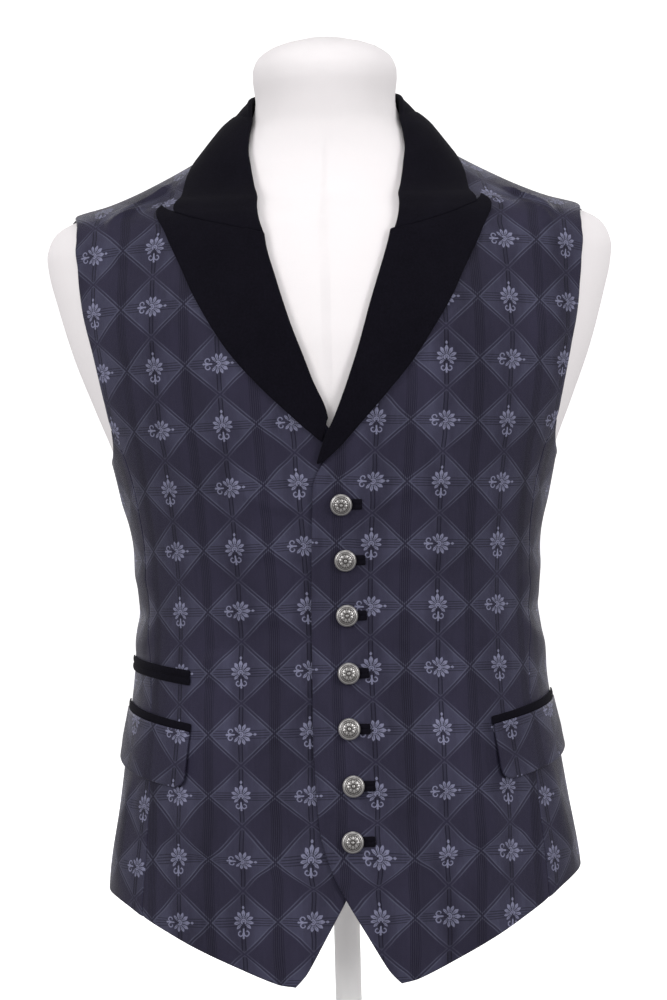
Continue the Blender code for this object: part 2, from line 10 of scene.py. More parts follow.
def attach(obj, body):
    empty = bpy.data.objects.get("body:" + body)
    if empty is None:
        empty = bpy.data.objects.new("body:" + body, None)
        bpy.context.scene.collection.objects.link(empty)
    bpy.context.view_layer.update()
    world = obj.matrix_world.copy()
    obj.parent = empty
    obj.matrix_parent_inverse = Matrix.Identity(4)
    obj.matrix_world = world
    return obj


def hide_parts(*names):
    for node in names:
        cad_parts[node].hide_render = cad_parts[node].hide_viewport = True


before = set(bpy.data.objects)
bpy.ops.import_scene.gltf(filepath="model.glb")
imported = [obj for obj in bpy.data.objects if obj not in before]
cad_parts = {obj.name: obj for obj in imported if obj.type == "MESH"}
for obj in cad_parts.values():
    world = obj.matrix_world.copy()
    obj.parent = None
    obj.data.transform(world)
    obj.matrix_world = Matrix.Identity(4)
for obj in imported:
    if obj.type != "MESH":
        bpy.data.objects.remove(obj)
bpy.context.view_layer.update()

bl_info = {
    "name": "Waistcoat on a Form",
    "version": (1, 0, 0),
    "blender": (4, 5, 0),
    "location": "3D View > Sidebar > Waistcoat",
    "description": "Sews a jacquard waistcoat round the solids of a dress form",
    "category": "Object",
}

MM = 0.001
LEFT = 1
RIGHT = -1

# The body under the cloth, in millimetres: half a section's width and its depth before and behind centre_y.
Level = namedtuple("Level", "z half_width front back centre_y squareness")
BODY = (
    Level(60, 178, 118, 124, 0, 0.86),
    Level(145, 173, 118, 124, 0, 0.86),
    Level(200, 165, 117, 121, 0, 0.86),
    Level(250, 158, 113, 111, 0, 0.86),
    Level(300, 152, 108, 101, 0, 0.86),
    Level(350, 149, 106, 96, 0, 0.86),
    Level(395, 151.5, 109, 99, 0, 0.86),
    Level(430, 158.5, 114, 106, 0, 0.86),
    Level(466, 168.5, 119, 113, 0, 0.86),
    Level(502, 182.5, 122, 119, 0, 0.88),
    Level(543, 198, 120, 123, 0, 0.92),
    Level(586, 210.5, 111, 121, 2, 0.96),
    Level(608, 216, 104, 117, 4, 1),
    Level(621, 217.5, 99, 113, 5, 1),
    Level(632, 215, 94, 109, 6, 1),
    Level(641, 209, 89, 104, 7, 1),
    Level(646.5, 200, 85, 100, 8, 1),
    Level(650, 190, 82, 97, 8, 1),
    Level(655.5, 170, 77, 92, 9, 1),
    Level(664, 149, 71, 85, 10, 1),
    Level(675.5, 126, 65, 77, 10, 1),
    Level(689.5, 100, 60, 70, 10, 1),
    Level(706, 74, 55, 62, 8, 1),
    Level(722, 58, 52, 56, 5, 1),
    Level(737, 53.8, 51.5, 54, 1, 1),
    Level(757, 55.7, 52.5, 55, -3, 1),
    Level(768, 52.5, 49.5, 52, -3, 1),
    Level(776.5, 42.5, 40, 42, -3, 1),
    Level(781, 31, 29, 31, -3, 1),
    Level(784.5, 15.5, 14.5, 15.5, -3, 1),
)
BODY_TOP = 785.7
FORM_BOTTOM = 145
FORM_BOTTOM_ROUND = 6

# How far the cloth hangs clear of the body.
Ease = namedtuple("Ease", "z clear")
EASE = (
    Ease(60, 6),
    Ease(150, 5.8),
    Ease(200, 5.2),
    Ease(250, 5),
    Ease(300, 3.8),
    Ease(350, 3),
    Ease(395, 2.7),
    Ease(430, 2),
    Ease(466, 1.4),
    Ease(610, 1.5),
    Ease(638, 2.5),
    Ease(656, 2.5),
    Ease(680, 1.6),
    Ease(757, 1.4),
)

# One front from its hem up, by angle round the body and height: the inner edge is the front edge, the
# lapel's roll and the neck seam, and the outer edge is the side-front seam and the armhole.
Row = namedtuple("Row", "inner_angle inner_z outer_angle outer_z")
FRONT = (
    Row(12.4, 74.5, 57.3, 126),
    Row(10.2, 82, 57.4, 134),
    Row(5.0, 110, 57.6, 156),
    Row(0.2, 136.8, 58.0, 178),
    Row(-2.2, 151.8, 58.4, 192),
    Row(-5.8, 188, 59.3, 220),
    Row(-6.6, 218, 60.8, 247),
    Row(-7.2, 250, 62.8, 275),
    Row(-7.3, 285, 65.5, 305),
    Row(-7.3, 318, 68.5, 332),
    Row(-7.2, 350, 69.6, 358),
    Row(-6.8, 385, 69.2, 388),
    Row(-6.2, 416, 67.8, 418),
    Row(-5.4, 442, 66.8, 444),
    Row(-2.1, 461, 67.2, 467),
    Row(0.7, 481, 69.5, 487),
    Row(3.0, 499, 67.4, 507),
    Row(6.2, 526, 65.0, 530),
    Row(8.2, 550, 63.6, 552),
    Row(9.6, 568, 63.0, 572),
    Row(11.3, 590, 61.8, 592),
    Row(12.7, 613, 60.7, 611),
    Row(15.9, 634, 61.0, 627),
    Row(26.0, 656, 64.0, 639.5),
    Row(42.0, 676, 70.0, 645),
    Row(63.0, 690.5, 78.5, 648.3),
    Row(87.9, 700, 87.9, 650.8),
)
ARMHOLE_ROW = 15
RIGHT_ROLL_SHIFT = 1.4
RIGHT_ROLL_STARTS = (474, 494)
RIGHT_ROLL_ENDS = (610, 636)

Point = namedtuple("Point", "angle z")
FRONT_HEM = (
    Point(12.4, 74.5),
    Point(15.5, 76),
    Point(28.2, 91.5),
    Point(38.0, 103.5),
    Point(48.5, 116.5),
    Point(57.3, 126),
)
SIDE_HEM = (Point(57.3, 126), Point(66, 134), Point(76, 139.5), Point(88, 142), Point(100, 142.5))
SIDE_UNDERARM = (Point(69.5, 487), Point(73.8, 475), Point(81, 465.5), Point(90, 462), Point(100, 463))
BACK_HEM = (Point(100, 142.5), Point(125, 139), Point(152, 133), Point(180, 131))
HEM_TILT = 0.055
HEM_TILT_GONE = (140, 260)
HEM_TILT_ROUND = (100, 180)

# One half of the back from its hem up: the centre seam and the neck, then the side seam and the armhole.
BACK = (
    Row(180, 131, 100, 142.5),
    Row(180, 180, 100, 185),
    Row(180, 240, 100, 240),
    Row(180, 300, 100, 300),
    Row(180, 350, 100, 350),
    Row(180, 400, 100, 395),
    Row(180, 445, 100, 430),
    Row(180, 482, 100, 463),
    Row(180, 520, 104, 478),
    Row(180, 560, 109.5, 508),
    Row(180, 600, 113.5, 545),
    Row(180, 640, 115.5, 580),
    Row(180, 672, 115.8, 610),
    Row(180, 703.5, 113, 633),
    Row(150, 703.8, 107, 642),
    Row(118, 702.5, 98, 647.5),
    Row(88.15, 700, 88.15, 650.8),
)

OVERLAP_ENDS = 8.6
OVERLAP_SETTLED = 17
OVERLAP_TOP = 500
OVERLAP_TOP_SETTLED = 560

# Lapels from the front edge up to the seam under the collar, and half the collar from there to its centre.
Turn = namedtuple("Turn", "fold_angle fold_z edge_angle edge_z")
LAPEL_LEFT = (
    Turn(-3.9, 458.5, -2.6, 459.8),
    Turn(-1.9, 474.5, 1.4, 471),
    Turn(0.6, 490.5, 6.9, 489.6),
    Turn(2.8, 508, 12.2, 509),
    Turn(5.0, 529.5, 17.0, 529.5),
    Turn(6.9, 552, 21.1, 552.5),
    Turn(8.5, 574, 24.8, 576),
    Turn(10.1, 595, 28.0, 604),
    Turn(11.5, 613.5, 32.2, 631.5),
    Turn(12.6, 627.8, 39.3, 652.5),
)
LAPEL_RIGHT = (
    Turn(1.7, 489.5, 3.1, 474),
    Turn(2.6, 499, 9.6, 492.6),
    Turn(4.9, 517, 16.2, 514.4),
    Turn(7.0, 539, 21.6, 537.5),
    Turn(8.9, 559, 25.3, 559.2),
    Turn(10.5, 581, 28.6, 585),
    Turn(11.7, 600, 31.0, 610),
    Turn(12.6, 614, 34.3, 631.8),
    Turn(13.2, 627.2, 41.0, 650.2),
)
HOOK = 2.4
Collar = namedtuple("Collar", "fold_angle fold_z edge_angle edge_z seam_angle seam_z bridge")
COLLAR = (
    Collar(13.4, 628.3, 33.4, 645.3, 15.0, 630, 0),
    Collar(16.0, 647, 39.5, 656.3, 20.5, 648.5, 0),
    Collar(21.5, 662.5, 47.4, 667.6, 29.5, 663.5, 1),
    Collar(30.0, 680.5, 58.0, 679.3, 42.0, 678.5, 3),
    Collar(44.0, 698.5, 70.0, 688, 59.0, 690, 5.5),
    Collar(61.0, 715, 83.0, 693.5, 75.0, 697.5, 7.5),
    Collar(78.0, 729, 98.0, 695.5, 90.0, 702, 8.5),
    Collar(98.0, 739.5, 116.0, 695, 110.0, 704, 8),
    Collar(124.0, 744.5, 138.0, 693, 133.0, 705.5, 6.5),
    Collar(152.0, 747, 159.0, 691, 157.0, 705.8, 5.5),
    Collar(180.0, 748, 180.0, 690, 180.0, 705.8, 5),
)
COLLAR_TILT = 1.5
COLLAR_CLEAR = 0.6
STAND_CLEAR = 0.4
LAYER_GAP = 0.5

# Pockets, from the end nearer the front edge to the end nearer the side.
Strip = namedtuple("Strip", "angle low high")
FLAP = (
    Strip(44.2, 218.6, 258.6),
    Strip(46.5, 219.3, 259.6),
    Strip(51.0, 220.6, 261.3),
    Strip(63.0, 225.5, 265.7),
    Strip(75.0, 231.5, 270),
    Strip(84.0, 237, 273.2),
    Strip(88.5, 239.6, 274.6),
)
FLAP_SWING_INNER = 0.8
FLAP_SWING_OUTER = 1.8
POCKET_JET = (Strip(43.9, 259.3, 265), Strip(66, 267.5, 273.4), Strip(88, 275.3, 281))
TICKET_JET_LOW = (Strip(45.6, 294.6, 299.3), Strip(66, 300.5, 305), Strip(86.5, 304.8, 309.2))
TICKET_JET_HIGH = (Strip(45.8, 299.9, 305), Strip(66, 305.6, 310.2), Strip(86.5, 309.8, 314.6))

BUTTONS = (
    Point(1.3, 427.5),
    Point(2.1, 386),
    Point(2.2, 344.4),
    Point(2.2, 301.5),
    Point(1.9, 260.3),
    Point(2.5, 218.9),
    Point(1.9, 178.9),
)
HOLE_FROM = -1.4
HOLE_TO = 5.3
HOLE_HEIGHT = 6.8
HOLE_CLOTH = 1.0
JET_CLOTH = 1.2
BUTTON_CLEAR = 0.45

Turned = namedtuple("Turned", "radius height")
BASE_PROFILE = (
    Turned(0, 0),
    Turned(138, 0),
    Turned(139.4, 0.6),
    Turned(140, 2),
    Turned(140, 7),
    Turned(139.2, 9),
    Turned(137, 10),
    Turned(60, 12),
    Turned(22, 13),
    Turned(19, 14),
    Turned(17, 16),
    Turned(17, 21.4),
    Turned(16.4, 22),
    Turned(0, 22),
)
POLE_RADIUS = 10
POLE_CLEAR = 0.3

# Main creases: a line between two places, with its width and height in millimetres. A height below zero is a
# trough.
Crease = namedtuple("Crease", "angle z to_angle to_z width height")
CREASES = (
    # The wearer's left shoulder and chest.
    Crease(63, 659, 51, 644, 2.8, 1.7),
    Crease(51, 647, 48, 630, 3.6, 1.3),
    Crease(57, 660, 46, 646, 2.8, -1.2),
    Crease(60, 640, 44, 596, 13, 0.8),
    Crease(62, 590, 34, 566, 15, -0.9),
    Crease(64, 560, 32, 540, 16, 1.2),
    # The wearer's right shoulder and chest.
    Crease(-64, 669, -50, 650, 3.0, 1.8),
    Crease(-49, 653, -50, 630, 3.8, 1.5),
    Crease(-58, 669, -45, 650, 3.0, -1.2),
    Crease(-60, 616, -42, 604, 9, -0.9),
    Crease(-62, 585, -36, 556, 15, 1.0),
    Crease(-64, 548, -40, 520, 14, -0.9),
    # Pulls from the buttons across the waist.
    Crease(4, 427, 34, 442, 6.1, 1.0),
    Crease(-9, 424, -36, 446, 6.1, 1.0),
    Crease(5, 386, 40, 394, 7.5, 1.2),
    Crease(-9, 386, -42, 400, 7.5, 1.3),
    Crease(6, 345, 46, 342, 8.2, 1.3),
    Crease(-9, 346, -48, 350, 8.2, 1.3),
    Crease(6, 322, 52, 312, 6.8, -1.2),
    Crease(-9, 324, -52, 326, 7.5, -1.2),
    Crease(5, 301, 40, 290, 7.5, 1.2),
    Crease(-9, 301, -44, 306, 6.8, 0.9),
    Crease(5, 260, 36, 246, 8.2, 1.0),
    Crease(-9, 260, -34, 250, 8.2, 1.0),
    Crease(5, 219, 30, 196, 8.8, 1.2),
    Crease(-9, 219, -30, 200, 8.2, 1.0),
    # The inner end of the small pocket.
    Crease(-44, 300, -30, 292, 4.1, -1.0),
    Crease(-43, 309, -32, 316, 4.8, 0.9),
    # Upright folds below the pockets, down to the hem.
    Crease(40, 214, 36, 118, 15, 1.6),
    Crease(54, 212, 52, 136, 12, -1.2),
    Crease(70, 226, 72, 146, 15, 1.5),
    Crease(-38, 212, -34, 112, 15, 1.5),
    Crease(-52, 214, -52, 132, 12, -1.2),
    Crease(-72, 226, -74, 140, 15, 1.6),
    # The side pieces, round the waist and under the arm.
    Crease(60, 362, 96, 380, 10, 0.9),
    Crease(66, 346, 104, 344, 9, -0.9),
    Crease(62, 330, 100, 312, 11, 1.1),
    Crease(-62, 366, -98, 384, 10, 1.0),
    Crease(-66, 348, -102, 350, 9, -0.8),
    Crease(-62, 334, -102, 318, 11, 1.0),
    Crease(78, 462, 94, 418, 12, 0.9),
    Crease(90, 455, 104, 402, 10, -0.7),
    Crease(-78, 460, -92, 420, 12, 0.9),
    Crease(-92, 452, -106, 400, 10, -0.7),
    # The back: the small of the back, the skirt and below the shoulder blades.
    Crease(112, 372, 158, 356, 11, 1.5),
    Crease(104, 352, 150, 336, 9, -1.2),
    Crease(120, 330, 168, 322, 12, 1.6),
    Crease(-110, 376, -160, 360, 11, 1.5),
    Crease(-106, 350, -152, 340, 9, -1.2),
    Crease(-118, 334, -166, 318, 12, 1.5),
    Crease(150, 302, 154, 170, 17, 2.0),
    Crease(168, 300, 170, 190, 12, -1.4),
    Crease(126, 290, 120, 170, 16, 1.8),
    Crease(138, 280, 137, 160, 11, -1.3),
    Crease(-152, 302, -156, 172, 17, 2.0),
    Crease(-166, 298, -168, 184, 12, -1.3),
    Crease(-124, 292, -118, 174, 16, 1.7),
    Crease(-138, 284, -140, 162, 11, -1.3),
    Crease(132, 560, 146, 400, 18, 1.8),
    Crease(150, 540, 158, 404, 14, -1.4),
    Crease(-134, 560, -146, 402, 18, 1.8),
    Crease(-150, 536, -160, 400, 14, -1.4),
    Crease(118, 604, 150, 628, 11, 0.9),
    Crease(116, 560, 140, 590, 12, -0.8),
    Crease(-118, 600, -150, 630, 11, 0.9),
    Crease(-116, 556, -140, 588, 12, -0.8),
    Crease(112, 655, 140, 676, 9, 0.8),
    Crease(-110, 655, -138, 678, 9, 0.8),
)
CREASE_MM_A_DEGREE = 2.4
CREASE_WANDER = 3.0
DEEPEST = -1.0


def smooth(places, values):
    """A curve through the values at these places, with no overshoot between them."""
    x = np.asarray(places, float)
    y = np.asarray(values, float)
    run = np.diff(x)
    rise = np.diff(y) / run
    slope = np.zeros(len(x))
    slope[0] = rise[0]
    slope[-1] = rise[-1]
    for k in range(1, len(x) - 1):
        if rise[k - 1] * rise[k] > 0:
            before = 2 * run[k] + run[k - 1]
            after = run[k] + 2 * run[k - 1]
            slope[k] = (before + after) / (before / rise[k - 1] + after / rise[k])

    def curve(at):
        at = np.clip(np.asarray(at, float), x[0], x[-1])
        k = np.clip(np.searchsorted(x, at, side="right") - 1, 0, len(run) - 1)
        t = (at - x[k]) / run[k]
        start = y[k] * (1 + 2 * t) * (1 - t) ** 2 + run[k] * slope[k] * t * (1 - t) ** 2
        end = y[k + 1] * t * t * (3 - 2 * t) + run[k] * slope[k + 1] * t * t * (t - 1)
        return start + end

    return curve


def columns(table, places):
    index = np.arange(len(table))
    return np.stack([smooth(index, column)(places) for column in zip(*table)], -1)


def along(table, steps):
    return columns(table, np.linspace(0, len(table) - 1, steps + 1))


def ramp(value, start, end):
    t = np.clip((value - start) / (end - start), 0, 1)
    return t * t * (3 - 2 * t)


BODY_LEVELS = [level.z for level in BODY]
HALF_WIDTH = smooth(BODY_LEVELS, [level.half_width for level in BODY])
FRONT_DEPTH = smooth(BODY_LEVELS, [level.front for level in BODY])
BACK_DEPTH = smooth(BODY_LEVELS, [level.back for level in BODY])
CENTRE_Y = smooth(BODY_LEVELS, [level.centre_y for level in BODY])
SQUARENESS = smooth(BODY_LEVELS, [level.squareness for level in BODY])
CLEAR = smooth([ease.z for ease in EASE], [ease.clear for ease in EASE])


def body(angle, z):
    across = np.sin(np.radians(angle))
    towards = np.cos(np.radians(angle))
    depth = np.where(towards >= 0, -FRONT_DEPTH(z), BACK_DEPTH(z)) * np.abs(towards) ** SQUARENESS(z)
    return np.stack([HALF_WIDTH(z) * across, CENTRE_Y(z) + depth, z + 0 * across], -1)


def outward(angle, z):
    round_body = body(angle + 0.5, z) - body(angle - 0.5, z)
    up_body = body(angle, z + 0.5) - body(angle, z - 0.5)
    out = np.cross(round_body, up_body)
    return out / np.linalg.norm(out, axis=-1, keepdims=True)


def skin(angle, z, lift=0.0):
    """The point of the cloth's inner face at this angle and height, moved out by the lift."""
    angle, z, lift = np.broadcast_arrays(*(np.asarray(value, float) for value in (angle, z, lift)))
    return body(angle, z) + outward(angle, z) * (CLEAR(z) + lift)[..., None]


def drape(angle, z):
    """How far the creases lift the cloth here, in millimetres. The deepest is limited before the strength
    is applied, so at a strength of 1.4 a trough comes down until it touches the form."""
    angle, z = np.broadcast_arrays(np.asarray(angle, float), np.asarray(z, float))
    lift = np.zeros(angle.shape)
    for number, crease in enumerate(CREASES):
        middle = (crease.angle + crease.to_angle) / 2
        turned = (angle - middle + 180) % 360 - 180
        x = turned * CREASE_MM_A_DEGREE
        run = np.array([(crease.to_angle - crease.angle) * CREASE_MM_A_DEGREE, crease.to_z - crease.z])
        length = np.hypot(*run)
        run = run / length
        y = z - (crease.z + crease.to_z) / 2
        share = (x * run[0] + y * run[1]) / length + 0.5
        aside = y * run[0] - x * run[1]
        aside = aside + CREASE_WANDER * np.sin(share * 5.1 + number * 1.7)
        spread = crease.width * (0.75 + 0.5 * np.clip(share, 0, 1))
        ends = ramp(share, -0.12, 0.3) * (1 - ramp(share, 0.6, 1.15))
        sharper = np.where(aside > 0, 0.75, 1.25)
        lift += crease.height * ends * np.exp(-((aside / spread / sharper) ** 2))
    low = 0.35 * np.sin(angle / 17 + z / 61) * np.sin(z / 43 - angle / 29)
    room = ramp(z, 700, 640)
    settings = bpy.context.scene.waistcoat_cloth
    return np.maximum(lift + low * room, DEEPEST) * settings.crease_strength


def overlap(angle, z):
    """How far the wearer's left front is lifted to lie on the right one."""
    near = 1 - ramp(angle, OVERLAP_ENDS, OVERLAP_SETTLED)
    low = 1 - ramp(z, OVERLAP_TOP, OVERLAP_TOP_SETTLED)
    return (front_thickness() + LAYER_GAP) * near * low


def front_thickness():
    return bpy.context.scene.waistcoat_cloth.front_thickness / MM


def back_thickness():
    return bpy.context.scene.waistcoat_cloth.back_thickness / MM


def wool_thickness():
    return bpy.context.scene.waistcoat_cloth.wool_thickness / MM


def patch(inner, outer, bottom, top):
    """Points over the area between four edges, each an array of angles and heights."""
    v = np.linspace(0, 1, len(inner))[:, None, None]
    u = np.linspace(0, 1, len(bottom))[None, :, None]
    sides = (1 - u) * inner[:, None] + u * outer[:, None]
    ends = (1 - v) * bottom[None] + v * top[None]
    low = (1 - u) * inner[0] + u * outer[0]
    high = (1 - u) * inner[-1] + u * outer[-1]
    return sides + ends - (1 - v) * low - v * high


def straight(start, end, steps):
    share = np.linspace(0, 1, steps + 1)[:, None]
    return (1 - share) * start + share * end


def on_side(area, side):
    """The area on the wearer's left or right, with the tilt of the hems, which fades towards the back."""
    angle = area[..., 0]
    z = area[..., 1]
    low = 1 - ramp(z, *HEM_TILT_GONE)
    forward = 1 - ramp(angle, *HEM_TILT_ROUND)
    return np.stack([angle * side, z + HEM_TILT * angle * side * low * forward], -1)


# ---------------------------------------------------------------------------------------------------
# Meshes
# ---------------------------------------------------------------------------------------------------


def add_piece(name, points, faces, flat, material, second=None):
    """Adds a smooth mesh in metres from points in millimetres. flat holds each point's place on the cut
    cloth, in millimetres, and second a spare pair of numbers."""
    mesh = bpy.data.meshes.new(name)
    mesh.from_pydata((points * MM).tolist(), [], faces.tolist() if hasattr(faces, "tolist") else faces)
    corners = np.empty(len(mesh.loops), np.int32)
    mesh.loops.foreach_get("vertex_index", corners)
    for layer, values in (("cloth", flat), ("worn", second)):
        if values is not None:
            uv = mesh.uv_layers.new(name=layer)
            uv.data.foreach_set("uv", (values[corners] * (MM if layer == "cloth" else 1)).ravel())
    mesh.validate()
    mesh.shade_smooth()
    piece = bpy.data.objects.new(name, mesh)
    bpy.context.scene.collection.objects.link(piece)
    mesh.materials.append(material)
    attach(piece, "root")
    return piece


def quads(rows, cols, first=0, closed=False):
    """The faces of a rectangle of points, whose columns may close into a ring."""
    index = np.arange(rows * cols).reshape(rows, cols) + first
    if closed:
        index = np.concatenate([index, index[:, :1]], 1)
    low = index[:-1]
    high = index[1:]
    return np.stack([low[:, :-1], low[:, 1:], high[:, 1:], high[:, :-1]], -1).reshape(-1, 4)


def border_of(rows, cols):
    index = np.arange(rows * cols).reshape(rows, cols)
    return np.concatenate([index[0], index[1:-1, -1], index[-1, ::-1], index[-2:0:-1, 0]])


EDGE_STEPS = 4


def cloth_wall(name, under, over, flat, material, second=None):
    """A thin closed wall of cloth with a round edge, between two rectangles of points that face each
    other."""
    rows, cols = over.shape[:2]
    count = rows * cols
    ring = border_of(rows, cols)
    top = over.reshape(-1, 3)
    bottom = under.reshape(-1, 3)
    out = np.zeros_like(over)
    out[0] += over[0] - over[1]
    out[-1] += over[-1] - over[-2]
    out[:, 0] += over[:, 0] - over[:, 1]
    out[:, -1] += over[:, -1] - over[:, -2]
    away = out.reshape(-1, 3)[ring]
    up = (top - bottom)[ring]
    half = np.linalg.norm(up, axis=1, keepdims=True) / 2
    up = up / (2 * half)
    away -= up * (away * up).sum(1, keepdims=True)
    away /= np.linalg.norm(away, axis=1, keepdims=True)
    middle = (top + bottom)[ring] / 2
    loops = []
    for step in range(1, EDGE_STEPS):
        turn = math.pi * step / EDGE_STEPS
        loops.append(middle + (up * math.cos(turn) + away * math.sin(turn)) * half)
    points = np.concatenate([top, bottom] + loops)
    flat = flat.reshape(-1, 2)
    flats = np.concatenate([flat, flat] + [flat[ring]] * len(loops))
    faces = [quads(rows, cols), quads(rows, cols, count)[:, ::-1]]
    rings = [ring] + [np.arange(len(ring)) + 2 * count + k * len(ring) for k in range(len(loops))]
    rings.append(ring + count)
    for a, b in zip(rings, rings[1:]):
        faces.append(np.stack([np.roll(a, -1), a, b, np.roll(b, -1)], 1))
    faces = np.concatenate(faces)
    if second is not None:
        second = second.reshape(-1, 2)
        second = np.concatenate([second, second] + [second[ring]] * len(loops))
    middle_face = over[rows // 2, cols // 2]
    facing = np.cross(
        over[rows // 2, cols // 2 + 1] - middle_face, over[rows // 2 + 1, cols // 2] - middle_face
    )
    if facing @ (middle_face - under[rows // 2, cols // 2]) < 0:
        faces = faces[:, ::-1]
    return add_piece(name, points, faces, flats, material, second)


COARSE_ROWS = 30
COARSE_COLUMNS = 12
FLATTEN_PASSES = 1600


def lay_flat(points, guess, anchors):
    """Lays a panel flat. It keeps the distances between neighbouring points, and turns the result so that
    the anchored points lie as near as they can to the guess."""
    rows, cols = points.shape[:2]
    keep_rows = np.unique(np.linspace(0, rows - 1, COARSE_ROWS).round().astype(int))
    keep_cols = np.unique(np.linspace(0, cols - 1, COARSE_COLUMNS).round().astype(int))
    solid = points[np.ix_(keep_rows, keep_cols)]
    flat = guess[np.ix_(keep_rows, keep_cols)].copy()
    held = anchors[np.ix_(keep_rows, keep_cols)]
    whole = slice(None)
    links = (
        ((slice(0, -1), whole), (slice(1, None), whole)),
        ((whole, slice(0, -1)), (whole, slice(1, None))),
        ((slice(0, -1), slice(0, -1)), (slice(1, None), slice(1, None))),
        ((slice(0, -1), slice(1, None)), (slice(1, None), slice(0, -1))),
    )
    lengths = [np.linalg.norm(solid[a] - solid[b], axis=-1) for a, b in links]
    count = np.zeros(flat.shape[:2])
    for a, b in links:
        count[a] += 1
        count[b] += 1
    for _ in range(FLATTEN_PASSES):
        move = np.zeros_like(flat)
        for (a, b), length in zip(links, lengths):
            gap = flat[b] - flat[a]
            now = np.linalg.norm(gap, axis=-1)
            push = gap * ((now - length) / np.maximum(now, 1e-6) / 2)[..., None]
            move[a] += push
            move[b] -= push
        flat += 1.6 * move / count[..., None]
    start = flat[held]
    goal = guess[np.ix_(keep_rows, keep_cols)][held]
    start_mean = start.mean(0)
    goal_mean = goal.mean(0)
    u, _, v = np.linalg.svd((start - start_mean).T @ (goal - goal_mean))
    flat = (flat - start_mean) @ u @ np.diag([1, np.sign(np.linalg.det(u @ v))]) @ v + goal_mean
    coordinates = flat.reshape(len(keep_rows), -1).T
    down = np.stack([smooth(keep_rows, values)(np.arange(rows)) for values in coordinates], -1)
    down = down.reshape(rows, len(keep_cols), 2)
    return np.stack(
        [np.stack([smooth(keep_cols, row[:, i])(np.arange(cols)) for i in (0, 1)], -1) for row in down]
    )


def sew_panel(name, under, over, flat, material):
    """One panel of the waistcoat, in place of its solid and with its cut stated."""
    piece = cloth_wall(name, under, over, flat, material)
    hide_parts(name)
    return piece


# How far a panel's edge keeps from the seam, in degrees round the body.
SEAM_TURN = 0.3
SHOULDER_RISE = 2.0
SHOULDER_ROWS = 3
FRONT_ROWS = 230
FRONT_COLUMNS = 64


def shoulder_rise(places, side):
    """How far the armhole's top is raised, over a table's last rows: the wearer's left shoulder is cut
    a little shorter."""
    if side == RIGHT:
        return np.zeros(len(places))
    return SHOULDER_RISE * np.clip((places - places[-1]) / SHOULDER_ROWS + 1, 0, 1) ** 2


def front_area(side):
    places = np.linspace(0, len(FRONT) - 1, FRONT_ROWS + 1)
    rows = columns(FRONT, places)
    rows[:, 3] += shoulder_rise(places, side)
    if side == RIGHT:
        z = rows[:, 1]
        rows[:, 0] += RIGHT_ROLL_SHIFT * ramp(z, *RIGHT_ROLL_STARTS) * (1 - ramp(z, *RIGHT_ROLL_ENDS))
    inner, outer = rows[:, :2], rows[:, 2:]
    top = straight(inner[-1], outer[-1], FRONT_COLUMNS)
    area = patch(inner, outer, along(FRONT_HEM, FRONT_COLUMNS), top)
    area[:, :, 0] -= SEAM_TURN * np.linspace(0, 1, area.shape[1]) ** 8
    return on_side(area, side)


def make_front(name, side, material):
    area = front_area(side)
    angle, z = area[..., 0], area[..., 1]
    lift = drape(angle, z) + (overlap(angle, z) if side == LEFT else 0)
    over = skin(angle, z, lift + front_thickness())
    guess = np.stack([over[..., 0] * 1.08, z + 0.25 * (over[..., 1] + 115)], -1)
    flat = lay_flat(over, guess, (np.abs(angle) < 30) & (z > 150) & (z < 440))
    return sew_panel(name, skin(angle, z, lift), over, flat, material)


SIDE_COLUMNS = 34


def make_side(name, side, material):
    edge_rows = columns(FRONT[: ARMHOLE_ROW + 1], np.linspace(0, ARMHOLE_ROW, 140))[:, 2:]
    hem = along(SIDE_HEM, SIDE_COLUMNS)
    back_edge = straight(hem[-1], np.array(SIDE_UNDERARM[-1]), 139)
    area = patch(edge_rows, back_edge, hem, along(SIDE_UNDERARM, SIDE_COLUMNS))
    area[:, :, 0] += SEAM_TURN * np.linspace(1, -1, area.shape[1]) ** 7
    area = on_side(area, side)
    angle, z = area[..., 0], area[..., 1]
    lift = drape(angle, z)
    over = skin(angle, z, lift + front_thickness())
    guess = np.stack([(angle - 80 * side) * 2.3 + 20 * side, z + 9], -1)
    flat = lay_flat(over, guess, np.ones(z.shape, bool))
    return sew_panel(name, skin(angle, z, lift), over, flat, material)


BACK_ROWS = 220
BACK_COLUMNS = 66


def make_back(name, side, material):
    places = np.linspace(0, len(BACK) - 1, BACK_ROWS + 1)
    rows = columns(BACK, places)
    rows[:, 3] += shoulder_rise(places, side)
    inner, outer = rows[:, :2], rows[:, 2:]
    top = straight(inner[-1], outer[-1], BACK_COLUMNS)
    area = patch(inner, outer, along(BACK_HEM, BACK_COLUMNS)[::-1], top)
    area[:, :, 0] += SEAM_TURN * np.linspace(-1, 1, area.shape[1]) ** 7
    area = on_side(area, side)
    angle, z = area[..., 0], area[..., 1]
    lift = drape(angle, z)
    over = skin(angle, z, lift + back_thickness())
    guess = np.stack([-over[..., 0] * 1.1, z + 0.3 * (120 - over[..., 1])], -1)
    flat = lay_flat(over, guess, (np.abs(angle) > 150) & (z < 600))
    return sew_panel(name, skin(angle, z, lift), over, flat, material)


FOLD_STEPS = 8
ROLL_REACH = 7.0


def unit(vectors):
    return vectors / np.linalg.norm(vectors, axis=-1, keepdims=True)


